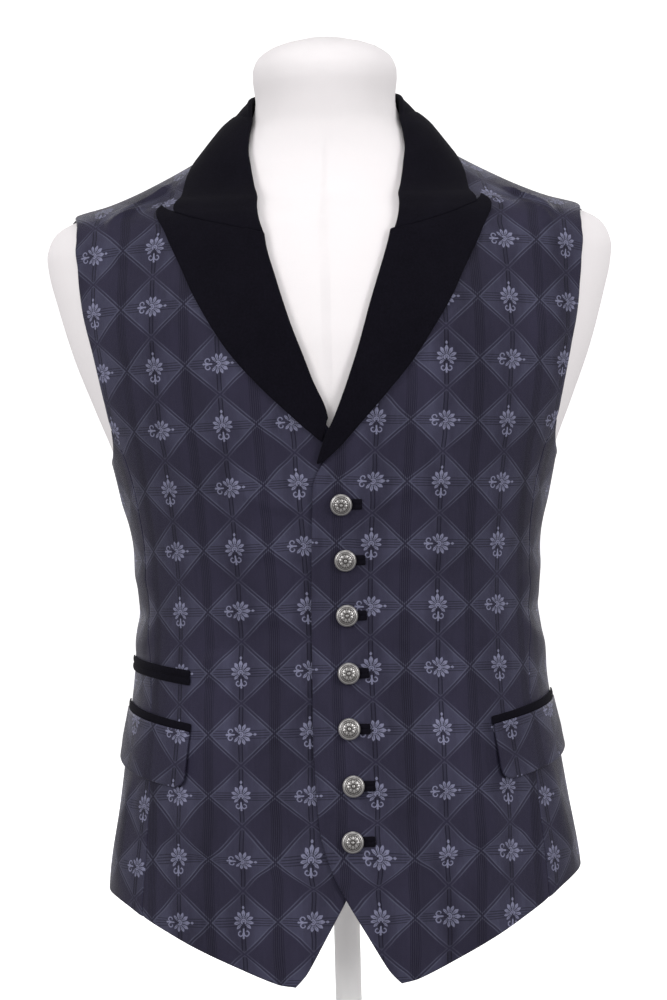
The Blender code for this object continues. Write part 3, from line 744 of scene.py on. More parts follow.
def unfold(middle, spread, first, bend_length):
    """Lays folded wool flat: its fall from the column first on, and beyond the fold line its bend and then
    its stand. spread is how far each point is from the stand's top, along its row."""
    fall = middle[:, first:]
    along_edge = np.linalg.norm(np.diff(middle[:, -1], axis=0), axis=-1)
    length = np.concatenate([[0], np.cumsum(along_edge)])[:, None] + 0 * spread[:, first:]
    laid = lay_flat(fall, np.stack([spread[:, first:], length], -1), np.ones(length.shape, bool))
    line = laid[:, 0]
    tangent = unit(np.gradient(line, axis=0))
    outward = np.stack([-tangent[:, 1], tangent[:, 0]], -1)
    if (outward * (laid[:, 1] - line)).sum() > 0:
        outward = -outward
    fold_line = unit(np.gradient(fall[:, 0], axis=0))
    columns_before = []
    for k in range(first):
        along_fold = ((middle[:, k] - fall[:, 0]) * fold_line).sum(-1)
        on_stand = spread[:, k] < 0
        along_fold = np.where(on_stand, along_fold, 0)
        from_fold = np.sqrt(np.maximum(spread[:, k] ** 2 - along_fold**2, 0)) + bend_length
        away = np.where(on_stand, from_fold, bend_length - spread[:, k])
        columns_before.append(line + outward * away[:, None] + tangent * along_fold[:, None])
    return np.concatenate([np.stack(columns_before, 1), laid], 1)


def turned_wool(name, fold, edge, seam, bridge, lift_of, steps, roll, material, replaced):
    """Wool that stands up from a seam, turns over at a soft fold and falls to a free edge."""
    thick = wool_thickness()
    fall = edge - fold
    width = np.linalg.norm(skin(*edge.T) - skin(*fold.T), axis=-1)
    stand = seam - fold
    stand_width = np.linalg.norm(skin(*seam.T) - skin(*fold.T), axis=-1)
    out_of_fold = fall / width[:, None]
    low = STAND_CLEAR + thick / 2
    rest = front_thickness() + LAYER_GAP + thick / 2
    radius = (rest - low) / 2
    middle, spread = [], []

    def place(at, height):
        return skin(*at.T, height + lift_of(*at.T))

    for share in np.linspace(1, 0.04, 7):
        middle.append(place(fold + stand * share, low + 0 * width))
        spread.append(-stand_width * share)
    for bend in np.linspace(0, math.pi, FOLD_STEPS + 1)[1:-1]:
        at = fold - out_of_fold * radius * math.sin(bend)
        middle.append(place(at, low + radius * (1 - math.cos(bend)) + 0 * width))
        spread.append(radius * bend + 0 * width)
    for share in np.linspace(0, 1, steps + 1):
        swell = roll * np.sin(np.pi * np.clip(share * width / (2.2 * ROLL_REACH), 0, 1)) ** 2
        swell = swell * ramp(width, 6, 26)
        lift = rest + bridge * math.sin(math.pi * share) + swell
        middle.append(place(fold + fall * share, lift))
        spread.append(width * share + radius * math.pi)
    middle = np.stack(middle, 1)
    across = np.gradient(middle, axis=1)
    down = np.gradient(middle, axis=0)
    normal = np.cross(across, down)
    normal /= np.linalg.norm(normal, axis=-1, keepdims=True)
    away = place(fold + fall * 0.5, rest + 10 + 0 * width) - place(fold + fall * 0.5, rest + 0 * width)
    if (normal[:, -steps // 2] * away).sum() < 0:
        normal = -normal
    flat = unfold(middle, np.stack(spread, 1), middle.shape[1] - steps - 1, radius * math.pi)
    from_edge = np.stack([width * (1 - share) for share in np.linspace(0, 1, steps + 1)], 1)
    worn = np.full(middle.shape[:2] + (2,), 50.0)
    worn[:, -(steps + 1) :, 0] = np.minimum(from_edge, 50)
    over = middle + normal * thick / 2
    under = middle - normal * thick / 2
    piece = cloth_wall(name, under, over, flat, material, worn)
    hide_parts(replaced)
    return piece


LAPEL_ROWS = 110
LAPEL_ROLL = 0.7


def make_lapel(name, table, side, material):
    rows = along(table, LAPEL_ROWS)
    fold = rows[:, :2] * (side, 1)
    edge = rows[:, 2:] * (side, 1)
    fall = edge - fold
    width = np.linalg.norm(skin(*edge.T) - skin(*fold.T), axis=-1)[:, None]
    seam = fold + fall * np.minimum(HOOK / width, 0.5)

    def lift_of(angle, z):
        return drape(angle, z) + (overlap(angle, z) if side == LEFT else 0)

    return turned_wool(name, fold, edge, seam, np.zeros(len(rows)), lift_of, 26, LAPEL_ROLL, material, name)


COLLAR_ROWS = 120
COLLAR_ROLL = 0.4


def make_collar(material):
    half = along(COLLAR, COLLAR_ROWS)
    tilt = COLLAR_TILT * np.linspace(1, 0, len(half))
    other = half[:-1][::-1] * (-1, 1, -1, 1, -1, 1, 1)
    other[:, 0:6:2] += 360
    half[:, 3] += tilt
    other[:, 3] -= tilt[:-1][::-1]
    rows = np.concatenate([half, other])
    fold, edge, seam = rows[:, 0:2], rows[:, 2:4], rows[:, 4:6]

    def lift_of(angle, z):
        return COLLAR_CLEAR + drape(angle, z) * ramp(z, 712, 660)

    return turned_wool("collar", fold, edge, seam, rows[:, 6], lift_of, 26, COLLAR_ROLL, material, "collar")


def strip_wall(name, strip, low, thickness, puff, material, flat):
    """A strip laid on the fronts. puff rounds its outer face across its height."""
    angle = strip[..., 0]
    z = strip[..., 1]
    down = np.linspace(0, 1, strip.shape[1])[None, :]
    base = front_thickness() + LAYER_GAP + overlap(np.abs(angle), z) + drape(angle, z) + low
    crown = puff * np.sin(np.pi * down) ** 0.6
    over = skin(angle, z, base + thickness + crown)
    return cloth_wall(name, skin(angle, z, base), over, flat, material)


def strip_area(table, side, steps_across, steps_down):
    rows = along(table, steps_across)
    down = np.linspace(0, 1, steps_down + 1)[None, :]
    angle = (rows[:, :1] + 0 * down) * side
    return np.stack([angle, rows[:, 2:] * (1 - down) + rows[:, 1:2] * down], -1)


def strip_flat(strip):
    """Where a strip's points lie on the cut cloth: along its upper edge, and down from it."""
    points = skin(strip[..., 0], strip[..., 1])
    step = np.linalg.norm(np.diff(points[:, 0], axis=0), axis=-1)
    across = np.concatenate([[0], np.cumsum(step)])[:, None] + np.zeros(strip.shape[1])
    down = np.concatenate(
        [np.zeros((len(strip), 1)), np.cumsum(np.linalg.norm(np.diff(points, axis=1), axis=-1), 1)], 1
    )
    return np.stack([across, -down], -1)


FLAP_CORNER = 9.0
FLAP_OUTER_CORNER = 12.0
FLAP_PATTERN_SHIFT = {LEFT: (12.0, 31.0), RIGHT: (-17.0, 31.0)}


def make_flap(name, side, material):
    """A flap with round lower corners, which swings a little away from the front."""
    strip = strip_area(FLAP, side, 72, 18)
    flat = strip_flat(strip)
    along_flap = flat[:, 0, 0]
    inner = np.clip(FLAP_CORNER - along_flap, 0, FLAP_CORNER)
    outer = np.clip(FLAP_OUTER_CORNER - (along_flap[-1] - along_flap), 0, FLAP_OUTER_CORNER)
    cut = FLAP_CORNER - np.sqrt(FLAP_CORNER**2 - inner**2)
    cut = cut + FLAP_OUTER_CORNER - np.sqrt(FLAP_OUTER_CORNER**2 - outer**2)
    high = strip[:, :1, 1]
    tall = high - strip[:, -1:, 1]
    strip[..., 1] = high - (high - strip[..., 1]) * (1 - cut[:, None] / tall)
    flat = strip_flat(strip)
    across = np.linspace(0, 1, len(strip))[:, None]
    down = np.linspace(0, 1, strip.shape[1])[None, :]
    swing = (FLAP_SWING_INNER + (FLAP_SWING_OUTER - FLAP_SWING_INNER) * across) * down**1.3
    swing = swing + 0.5 * np.sin(across * 9.0 + 1.0) * down**2
    shifted = flat * (side, 1) + FLAP_PATTERN_SHIFT[side]
    piece = strip_wall(name, strip, swing, 2.0, 0.0, material, shifted)
    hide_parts(name)


def make_jet(name, table, side, material):
    strip = strip_area(table, side, 80, 8)
    flat = strip_flat(strip)
    piece = strip_wall(name, strip, 0.0, JET_CLOTH - 0.2, 0.5, material, flat)
    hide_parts(name)


def make_buttonhole(name, place, material):
    """A bound hole: two rows of piping that meet in a slit."""
    half = HOLE_HEIGHT / 2
    table = (
        Strip(place.angle + HOLE_FROM, place.z - half, place.z + half),
        Strip(place.angle + HOLE_TO, place.z - half, place.z + half),
    )
    strip = strip_area(table, LEFT, 28, 14)
    flat = strip_flat(strip)
    angle = strip[..., 0]
    z = strip[..., 1]
    down = np.linspace(0, 1, strip.shape[1])[None, :]
    base = front_thickness() + LAYER_GAP + overlap(np.abs(angle), z) + drape(angle, z)
    crown = 0.35 * np.abs(np.sin(2 * np.pi * down)) ** 0.6 - 0.25 * np.exp(-(((down - 0.5) / 0.06) ** 2))
    over = skin(angle, z, base + HOLE_CLOTH - 0.2 + crown)
    piece = cloth_wall(name, skin(angle, z, base), over, flat, material)
    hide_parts(name)


BUTTON_RINGS = 44
BUTTON_AROUND = 96
BUTTON_DRAWN_RADIUS = 8.1
BUTTON_DOME_RADIUS = 7.55
BUTTON_DOME_LOW = 1.5
BUTTON_DOME_RISE = 4.2 - 1.75
BUTTON_RELIEF = 0.28
BUTTON_PETALS = 8
# The rim from the dome outwards and round underneath: radius and height.
BUTTON_RIM = ((7.9, 1.55), (8.08, 1.25), (8.1, 0.9), (7.95, 0.5), (7.5, 0.2), (6.9, 0.02), (4, 0), (0.02, 0))


def button_relief(radius, turn):
    """The raised work on a button's dome: a flower inside a ring of beads, and a rope round the rim."""
    petal = np.cos(turn * BUTTON_PETALS / 2) ** 2
    flower = np.exp(-(((radius - 2.6 - 1.0 * petal) / 1.1) ** 2)) * petal**0.7
    heart = np.exp(-((radius / 0.95) ** 4))
    small = np.cos(turn * BUTTON_PETALS / 2 + math.pi / 2) ** 2
    sepal = 0.6 * np.exp(-(((radius - 4.2) / 0.7) ** 2)) * small**3
    bead = np.exp(-(((radius - 5.7) / 0.33) ** 2)) * (0.45 + 0.55 * np.cos(turn * 36))
    rope = np.exp(-(((radius - 7.0) / 0.5) ** 2)) * (0.75 + 0.25 * np.cos(turn * 44 + radius * 5))
    return np.maximum.reduce([flower, heart, sepal, np.clip(bead, 0, 1), rope])


def make_button(name, place, number, material):
    """A domed metal button on its shank side, turned a little from its neighbours."""
    size = bpy.context.scene.waistcoat_trim.button_radius / MM
    scale = size / BUTTON_DRAWN_RADIUS
    turn = np.linspace(0, 2 * np.pi, BUTTON_AROUND, endpoint=False)[None, :]
    share = np.linspace(0.002, 1, BUTTON_RINGS)[:, None]
    radius = BUTTON_DOME_RADIUS * share + 0 * turn
    relief = button_relief(radius, turn + 0 * share + number * 0.9)
    swell = 1 - (radius / BUTTON_RIM[0][0]) ** 2
    height = BUTTON_DOME_LOW + BUTTON_DOME_RISE * swell + BUTTON_RELIEF * relief
    rings = [np.stack([radius * np.cos(turn), radius * np.sin(turn), height], -1)]
    marks = [np.stack([relief, share + 0 * turn], -1)]
    for edge_radius, edge_height in BUTTON_RIM:
        across, up = edge_radius * np.cos(turn), edge_radius * np.sin(turn)
        rings.append(np.stack([across, up, edge_height + 0 * turn], -1))
        marks.append(np.stack([0.55 + 0 * turn, 1 + 0 * turn], -1))
    points = np.concatenate(rings) * scale
    marks = np.concatenate(marks)
    lift = overlap(place.angle, place.z) + front_thickness() + LAYER_GAP + HOLE_CLOTH + BUTTON_CLEAR
    lift = lift + float(drape(place.angle, place.z))
    out = outward(np.float64(place.angle), np.float64(place.z))
    turned = np.array(Vector(out).to_track_quat("Z", "Y").to_matrix())
    points = points.reshape(-1, 3) @ turned.T + skin(place.angle, place.z, lift)
    faces = quads(len(marks), BUTTON_AROUND, closed=True)
    marks = marks.reshape(-1, 2)
    piece = add_piece(name, points, faces, points[:, [0, 2]], material, marks)
    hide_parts(name)


FORM_AROUND = 180
FORM_RING = 3.5
SEAM_DEPTH = 0.35
# The rounded underside, from its middle outwards: the section's share across and deep, and how far down.
FORM_FOOT = ((0.965, 0.955, 6), (0.985, 0.98, 5), (0.996, 0.994, 2.6))


def make_form(material):
    """The dress form, with the sewn seams of its jersey cover."""
    turn = np.linspace(0, 360, FORM_AROUND, endpoint=False)[None, :]
    low = FORM_BOTTOM + FORM_BOTTOM_ROUND
    levels = np.linspace(low, BODY[-1].z, int((BODY[-1].z - low) / FORM_RING))[:, None]
    points = body(turn, levels)
    seam = np.zeros(points.shape[:2])
    for at in (90, 180, 270):
        seam += np.exp(-((((turn - at + 180) % 360 - 180) / 0.9) ** 2))
    neck_seam = np.exp(-(((levels - 757 + 0 * turn) / 1.6) ** 2))
    groove = SEAM_DEPTH * np.minimum(seam + neck_seam, 1)
    points -= outward(turn + 0 * levels, levels + 0 * turn) * groove[..., None]
    lowest = body(turn, low + 0 * turn)[0]
    foot = [lowest * (across, deep, 1) - (0, 0, drop) for across, deep, drop in FORM_FOOT]
    tip_low = np.repeat([[0, 0, FORM_BOTTOM]], FORM_AROUND, 0) + lowest * (0.002, 0.002, 0)
    tip_high = np.repeat([[0, float(CENTRE_Y(BODY_TOP)), BODY_TOP]], FORM_AROUND, 0)
    tip_high = tip_high + points[-1] * (0.001, 0.001, 0)
    rings = np.concatenate([tip_low[None], np.stack(foot), points, tip_high[None]])
    flat = np.stack([np.radians(turn) * 150 + 0 * rings[..., 2], rings[..., 2]], -1)
    faces = quads(len(rings), FORM_AROUND, closed=True)
    rings = rings.reshape(-1, 3)
    piece = add_piece("form_cover", rings, faces, flat.reshape(-1, 2), material)
    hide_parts("form_torso")


TURNED_AROUND = 128


def make_turned(name, profile, material, replaced):
    turn = np.linspace(0, 2 * np.pi, TURNED_AROUND, endpoint=False)[None, :]
    radius = np.array([max(row.radius, 0.01) for row in profile])[:, None]
    height = np.array([row.height for row in profile])[:, None]
    rings = np.stack([radius * np.cos(turn), radius * np.sin(turn), height + 0 * turn], -1)
    flat = np.stack([turn * 140 + 0 * radius, radius + height + 0 * turn], -1).reshape(-1, 2)
    faces = quads(len(profile), TURNED_AROUND, closed=True)
    piece = add_piece(name, rings.reshape(-1, 3), faces, flat, material)
    piece.data.set_sharp_from_angle(angle=math.radians(35))
    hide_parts(replaced)


# ---------------------------------------------------------------------------------------------------
# Finishes
# ---------------------------------------------------------------------------------------------------


class Yarn:
    """A value in a material's nodes. Sums written with it become Math nodes."""

    def __init__(self, tree, socket):
        self.tree = tree
        self.socket = socket

    def apply(self, operation, *others, clamp=False):
        node = self.tree.nodes.new("ShaderNodeMath")
        node.operation = operation
        node.use_clamp = clamp
        for slot, value in zip(node.inputs, (self, *others)):
            if isinstance(value, Yarn):
                self.tree.links.new(value.socket, slot)
            else:
                slot.default_value = value
        return Yarn(self.tree, node.outputs[0])

    def __add__(self, other):
        return self.apply("ADD", other)

    def __sub__(self, other):
        return self.apply("SUBTRACT", other)

    def __mul__(self, other):
        return self.apply("MULTIPLY", other)

    def __truediv__(self, other):
        return self.apply("DIVIDE", other)

    __radd__ = __add__
    __rmul__ = __mul__

    def from_(self, number):
        return (self * -1.0) + number

    def size(self):
        return self.apply("ABSOLUTE")

    def step_up(self, start, end):
        """0 below start and 1 above end, softly between; the other way round where start is larger."""
        node = self.tree.nodes.new("ShaderNodeMapRange")
        node.interpolation_type = "SMOOTHSTEP"
        flip = start > end
        node.inputs["From Min"].default_value = min(start, end)
        node.inputs["From Max"].default_value = max(start, end)
        node.inputs["To Min"].default_value = 1.0 if flip else 0.0
        node.inputs["To Max"].default_value = 0.0 if flip else 1.0
        self.tree.links.new(self.socket, node.inputs["Value"])
        return Yarn(self.tree, node.outputs["Result"])

    def line(self, half, soft=0.25):
        """1 within half of zero, and 0 a little further off."""
        return self.size().step_up(half + soft, half)


class Finish:
    """A material under its Principled shader, with the helpers that fill it."""

    def __init__(self, name, roughness, metallic=0.0, sheen=0.0, specular=0.5, tint=(1, 1, 1)):
        self.material = bpy.data.materials.new(name)
        self.material.use_nodes = True
        self.tree = self.material.node_tree
        self.shader = self.tree.nodes["Principled BSDF"]
        self.shader.inputs["Roughness"].default_value = roughness
        self.shader.inputs["Metallic"].default_value = metallic
        self.shader.inputs["Sheen Weight"].default_value = sheen
        self.shader.inputs["Specular IOR Level"].default_value = specular
        self.shader.inputs["Specular Tint"].default_value = (*tint, 1)

    def laid(self, layer, scale):
        """The two coordinates of a UV layer, times a scale."""
        node = self.tree.nodes.new("ShaderNodeUVMap")
        node.uv_map = layer
        split = self.tree.nodes.new("ShaderNodeSeparateXYZ")
        self.tree.links.new(node.outputs[0], split.inputs[0])
        return Yarn(self.tree, split.outputs[0]) * scale, Yarn(self.tree, split.outputs[1]) * scale

    def place(self):
        node = self.tree.nodes.new("ShaderNodeTexCoord")
        return node.outputs["Object"]

    def noise(self, at, scale, detail=3.0, rough=0.55):
        node = self.tree.nodes.new("ShaderNodeTexNoise")
        node.inputs["Scale"].default_value = scale
        node.inputs["Detail"].default_value = detail
        node.inputs["Roughness"].default_value = rough
        self.tree.links.new(at, node.inputs["Vector"])
        return Yarn(self.tree, node.outputs["Fac"])

    def joined(self, x, y):
        node = self.tree.nodes.new("ShaderNodeCombineXYZ")
        self.tree.links.new(x.socket, node.inputs[0])
        self.tree.links.new(y.socket, node.inputs[1])
        return node.outputs[0]

    def mixed(self, amount, first, second):
        """A colour between two, each a triple or a colour output."""
        node = self.tree.nodes.new("ShaderNodeMix")
        node.data_type = "RGBA"
        self.tree.links.new(amount.socket, node.inputs["Factor"])
        for slot, colour in ((node.inputs[6], first), (node.inputs[7], second)):
            if hasattr(colour, "is_output"):
                self.tree.links.new(colour, slot)
            else:
                slot.default_value = (*colour[:3], 1)
        return node.outputs[2]

    def shaded(self, colour, amount):
        """A colour times a value."""
        node = self.tree.nodes.new("ShaderNodeVectorMath")
        node.operation = "SCALE"
        self.tree.links.new(colour, node.inputs[0])
        self.tree.links.new(amount.socket, node.inputs["Scale"])
        return node.outputs[0]

    def colour(self, socket):
        self.tree.links.new(socket, self.shader.inputs["Base Color"])

    def roughness(self, value):
        self.tree.links.new(value.socket, self.shader.inputs["Roughness"])

    def raised(self, height, distance, strength=1.0):
        node = self.tree.nodes.new("ShaderNodeBump")
        node.inputs["Distance"].default_value = distance
        node.inputs["Strength"].default_value = strength
        self.tree.links.new(height.socket, node.inputs["Height"])
        self.tree.links.new(node.outputs[0], self.shader.inputs["Normal"])


def nearest(value):
    """The distance to the nearest whole number, with its sign."""
    return value - value.apply("ROUND")


LATTICE_X = 0.026
LATTICE_Z = 0.466
SPRIG_PETALS = 9
SPRIG_FAN = math.radians(296)
SPRIG_REACH = 8.4


def either(*marks):
    """The strongest of several marks."""
    strongest = marks[0]
    for mark in marks[1:]:
        strongest = strongest.apply("MAXIMUM", mark)
    return strongest


def sprig_mask(x, y):
    """1 on a small woven sprig, in millimetres from its middle: a fan of pointed petals over a stem with
    two scrolls."""
    x = x.size()
    radius = (x * x + y * y).apply("SQRT")
    turn = x.apply("ARCTAN2", y)
    pitch = SPRIG_FAN / SPRIG_PETALS
    petal = nearest(turn / pitch).size()
    reach = petal.apply("POWER", 1.4) * -8.5 + turn * -0.9 + SPRIG_REACH + 0.8
    fan = (reach - radius).step_up(-0.3, 0.3) * turn.step_up(SPRIG_FAN / 2 + 0.05, SPRIG_FAN / 2 - 0.05)
    between = (petal.from_(0.5) * radius * pitch).step_up(0.25, 0.6)
    fan = fan * either(between, radius.step_up(3.4, 2.9))
    vein = (petal * radius * pitch).step_up(0.3, 0.12) * (radius - 4.6).line(1.2, 0.4)
    ring = (radius - 2.55).line(0.22, 0.22)
    fan = fan * (vein * -0.8 + 1.0) * (ring * -0.9 + 1.0) * ((radius - 1.05).line(0.12, 0.2) * -0.7 + 1.0)
    below = y.step_up(-4.2, -5.0)
    stem = x.line(0.42, 0.25) * below * y.step_up(-10.8, -10.2)
    sx = x - 2.25
    sy = y + 8.0
    scroll = ((sx * sx + sy * sy).apply("SQRT") - 1.75).line(0.34, 0.25) * (sx - sy).step_up(-2.2, -1.4)
    foot = (x * x + (y + 11.0) * (y + 11.0)).step_up(1.0, 0.4)
    bud = (x * x * 1.9 + (y - 11.0) * (y - 11.0)).step_up(1.9, 1.0)
    return either(fan, stem, scroll, foot, bud)


# The jacquard's lines, in millimetres from a diamond's edge or from the middle of their own group.
OUTLINE_INSIDE = 1.0
OUTLINE_OUTSIDE = 1.2
CROSS_PITCH = 1.5
COLUMN_LINE = 1.35
WEFT_PITCH = 1.9
SPRIG_THREAD = 0.42
RIB_ACROSS = 0.55
RIB_DOWN = 0.42


def jacquard(name):
    """Satin jacquard: light and dark diamonds outlined twice, crossed by fine lines, with sprigs, and soft
    upright bands of painted sheen in its colour.
    """
    look = bpy.context.scene.waistcoat_jacquard
    finish = Finish(name, 0.40, specular=0.14, tint=(0.80, 0.78, 1.0))
    width = look.diamond_width / MM
    height = look.diamond_height / MM
    u, v = finish.laid("cloth", 1 / MM)
    p = (u - LATTICE_X / MM) / width
    q = (v - LATTICE_Z / MM) / height
    pa = nearest(p).size()
    qa = nearest(q).size()
    slope = width * height / math.hypot(width, height)
    edge = (qa - pa) * slope
    in_light = edge.step_up(0.2, 1.0)
    from_cross = pa.from_(0.5) * width
    from_row = qa.from_(0.5) * height
    from_column = pa * width
    tone = finish.noise(finish.joined(u * 0.07, v * 0.03), 1.0, 3.0)
    # This noise is stretched upright. In the colour below it paints soft upright bands of sheen, not a mark
    # of the cloth.
    cloud = finish.noise(finish.joined(u * 0.024, v * 0.006), 1.0, 2.0)
    corner = pa.step_up(0.0, 0.46)
    # How much of the light diamond colour is used: brighter towards the side corners as woven, with random
    # tone, and with painted sheen from the upright bands.
    tone_and_painted_sheen = corner * 0.85 + (tone - 0.5) * 0.9 + (cloud - 0.5) * 1.6 + 0.36
    ground = finish.mixed(in_light * tone_and_painted_sheen, look.dark, look.light)
    run = (pa + qa).step_up(0.05, 0.5) * 0.6 + 0.4
    gap = (edge + 0.1).line(0.55, 0.4) * 0.55
    ground = finish.mixed(gap, ground, look.dark)
    inner = (edge - OUTLINE_INSIDE).line(0.28, 0.3)
    outer = (edge + OUTLINE_OUTSIDE).line(0.28, 0.3) * 0.8
    outline = either(inner, outer) * run
    ground = finish.mixed(outline, ground, look.line)
    stripes = nearest(from_cross * (1 / CROSS_PITCH) + 0.5).size() * CROSS_PITCH
    crossing = stripes.step_up(0.5, 0.24) * from_cross.step_up(4.3, 3.4) * edge.step_up(1.4, 0.4) * 0.7
    column = from_column.step_up(1.6, 1.2) * 0.25
    column = either(column, (from_column - COLUMN_LINE).line(0.3, 0.3) * 0.85) * edge.step_up(0.6, 1.4)
    rows = nearest(from_row * (1 / WEFT_PITCH) + 0.5).size() * WEFT_PITCH
    weft = rows.step_up(0.46, 0.2) * from_row.step_up(4.2, 3.4) * edge.step_up(1.2, 2.4) * 0.66
    dark_lines = either(crossing, column, weft)
    ground = finish.mixed(dark_lines, ground, look.fine_line)
    su = (nearest(p) * (width / SPRIG_THREAD)).apply("ROUND") * SPRIG_THREAD
    sv = (nearest(q - 0.5) * (height / SPRIG_THREAD)).apply("ROUND") * SPRIG_THREAD
    turn = ((q - 0.5).apply("ROUND") + p.apply("ROUND")).apply("MODULO", 2.0).size()
    sprig = sprig_mask(su + (sv - su) * turn, sv + (su - sv) * turn)
    grain = finish.noise(finish.joined(u * 2.2, v * 1.1), 1.0, 2.0)
    ground = finish.mixed(sprig, ground, scaled(finish, look.sprig, grain * 0.6 + 0.7))
    ribs_across = (u * (2 * math.pi / RIB_ACROSS)).apply("SINE") * 0.5
    ribs = ribs_across + (v * (2 * math.pi / RIB_DOWN)).apply("SINE") * 0.5
    weave = finish.noise(finish.joined(u * 3.1, v * 0.7), 1.0, 2.0)
    slub = finish.noise(finish.joined(u * 0.5, v * 0.06), 1.0, 2.0)
    # The colour's brightness: the weave's ribs, threads and slubs, random tone, and the painted sheen bands.
    depth = ribs * 0.05 + weave * 0.4 + slub * 0.25 + cloud * 0.9 + tone * 0.35 + 0.04
    finish.colour(finish.shaded(ground, depth))
    finish.roughness(in_light * -0.06 + sprig * 0.1 + tone * 0.08 + 0.36)
    finish.raised(ribs * 0.4 + weave * 0.9 + sprig * 1.2 + outline * 0.5 - dark_lines * 0.5, 0.00022, 0.7)
    return finish.material


def scaled(finish, colour, amount):
    node = finish.tree.nodes.new("ShaderNodeVectorMath")
    node.operation = "SCALE"
    node.inputs[0].default_value = colour[:3]
    finish.tree.links.new(amount.socket, node.inputs["Scale"])
    return node.outputs[0]


def back_satin(name):
    look = bpy.context.scene.waistcoat_trim
    finish = Finish(name, 0.4, sheen=0.03, specular=0.2)
    u, v = finish.laid("cloth", 1 / MM)
    thread = finish.noise(finish.joined(u * 3.0, v * 0.25), 1.0, 3.0)
    cloud = finish.noise(finish.joined(u * 0.02, v * 0.02), 1.0, 3.0)
    finish.colour(scaled(finish, look.satin, thread * 0.5 + cloud * 0.5 + 0.5))
    finish.roughness(cloud * 0.12 + thread * 0.1 + 0.32)
    finish.raised(thread + (u * (2 * math.pi / 0.5)).apply("SINE") * 0.3, 0.00012, 0.5)
    return finish.material


def black_wool(name):
    """Fine matte wool: a steep twill under a short nap."""
    look = bpy.context.scene.waistcoat_trim
    finish = Finish(name, 0.92, sheen=0.02, specular=0.06, tint=(0.8, 0.78, 1.0))
    u, v = finish.laid("cloth", 1 / MM)
    twill = ((u + v * 1.7) * (2 * math.pi / 1.1)).apply("SINE")
    nap = finish.noise(finish.place(), 700.0, 3.0, 0.7)
    cloud = finish.noise(finish.place(), 45.0, 3.0)
    finish.colour(scaled(finish, look.wool, nap * 1.8 + cloud * 0.6 + twill * 0.06 - 0.1))
    finish.raised(nap + twill * 0.18, 0.0003, 0.5)
    return finish.material


def cream_jersey(name):
    look = bpy.context.scene.waistcoat_trim
    finish = Finish(name, 0.9, sheen=0.05, specular=0.2)
    u, v = finish.laid("cloth", 1 / MM)
    wale = (u * (2 * math.pi / 0.9)).apply("SINE") * (v * (2 * math.pi / 0.7)).apply("SINE")
    cloud = finish.noise(finish.place(), 9.0, 4.0)
    fuzz = finish.noise(finish.place(), 900.0, 2.0)
    finish.colour(scaled(finish, look.jersey, cloud * 0.05 + fuzz * 0.03 + 0.96))
    finish.raised(wale * 0.5 + fuzz, 0.00016, 0.45)
    return finish.material


def antique_silver(name):
    """Cast metal, bright where it is rubbed and dark in its recesses."""
    look = bpy.context.scene.waistcoat_trim
    finish = Finish(name, 0.36, metallic=1.0)
    relief = finish.laid("worn", 1.0)[0]
    patina = finish.noise(finish.place(), 420.0, 4.0, 0.6)
    rubbed = (relief.step_up(0.05, 0.6) * 0.85 + patina * 0.35 - 0.1).apply("ADD", 0.0, clamp=True)
    finish.colour(finish.mixed(rubbed, look.silver_recess, look.silver))
    finish.roughness(rubbed * -0.14 + patina * 0.16 + 0.40)
    finish.raised(patina, 0.00012, 0.35)
    return finish.material


def painted_steel(name):
    look = bpy.context.scene.waistcoat_trim
    finish = Finish(name, 0.38, specular=0.5)
    peel = finish.noise(finish.place(), 260.0, 2.0)
    rub = finish.noise(finish.place(), 14.0, 4.0)
    finish.colour(scaled(finish, look.paint, rub * 0.06 + 0.96))
    finish.roughness(rub * 0.18 + 0.3)
    finish.raised(peel, 0.0002, 0.25)
    return finish.material


PAPER_GLOW = 0.62


def plain_paper(name, colour):
    """White paper that glows a little, so that it stays white beside the form."""
    finish = Finish(name, 0.85, specular=0.1)
    mottle = finish.noise(finish.place(), 2.5, 3.0)
    finish.colour(scaled(finish, colour, mottle * 0.02 + 0.985))
    finish.shader.inputs["Emission Color"].default_value = (1, 1, 1, 1)
    finish.shader.inputs["Emission Strength"].default_value = PAPER_GLOW
    return finish.material


# ---------------------------------------------------------------------------------------------------
# Settings
# ---------------------------------------------------------------------------------------------------


def shade(name, description, default):
    return FloatVectorProperty(
        name=name, description=description, subtype="COLOR", size=3, min=0.0, max=1.0, default=default
    )


def length(name, description, default, low, high):
    return FloatProperty(
        name=name, description=description, unit="LENGTH", default=default, min=low, max=high
    )


class WaistcoatJacquardSettings(bpy.types.PropertyGroup):
    """The woven pattern of the fronts."""

    diamond_width: length("Diamond width", "From side to side corner of one diamond", 0.052, 0.02, 0.1)
    diamond_height: length("Diamond height", "From top to bottom corner of one diamond", 0.046, 0.02, 0.1)
    light: shade("Light diamonds", "Colour of the lighter diamonds", (0.044, 0.0435, 0.073))
    dark: shade("Dark diamonds", "Colour of the darker diamonds", (0.0210, 0.0190, 0.0365))
    line: shade("Outlines", "Colour of the double lines round the diamonds", (0.064, 0.066, 0.101))
    fine_line: shade("Fine lines", "Colour of the thin dark lines on the diamonds", (0.0060, 0.0056, 0.0110))
    sprig: shade("Sprigs", "Colour of the small woven sprigs", (0.185, 0.188, 0.275))


class WaistcoatClothSettings(bpy.types.PropertyGroup):
    """Thicknesses of the cloth and the strength of its creases."""

    front_thickness: length("Front cloth", "Thickness of the fronts and the sides", 0.002, 0.001, 0.003)
    back_thickness: length("Back cloth", "Thickness of the back", 0.0016, 0.001, 0.003)
    wool_thickness: length("Wool", "Thickness of the lapels and the collar", 0.0018, 0.001, 0.003)
    crease_strength: FloatProperty(
        name="Creases",
        description="What the heights of the creases are multiplied by",
        subtype="FACTOR",
        default=1.4,
        min=0.0,
        max=2.0,
    )


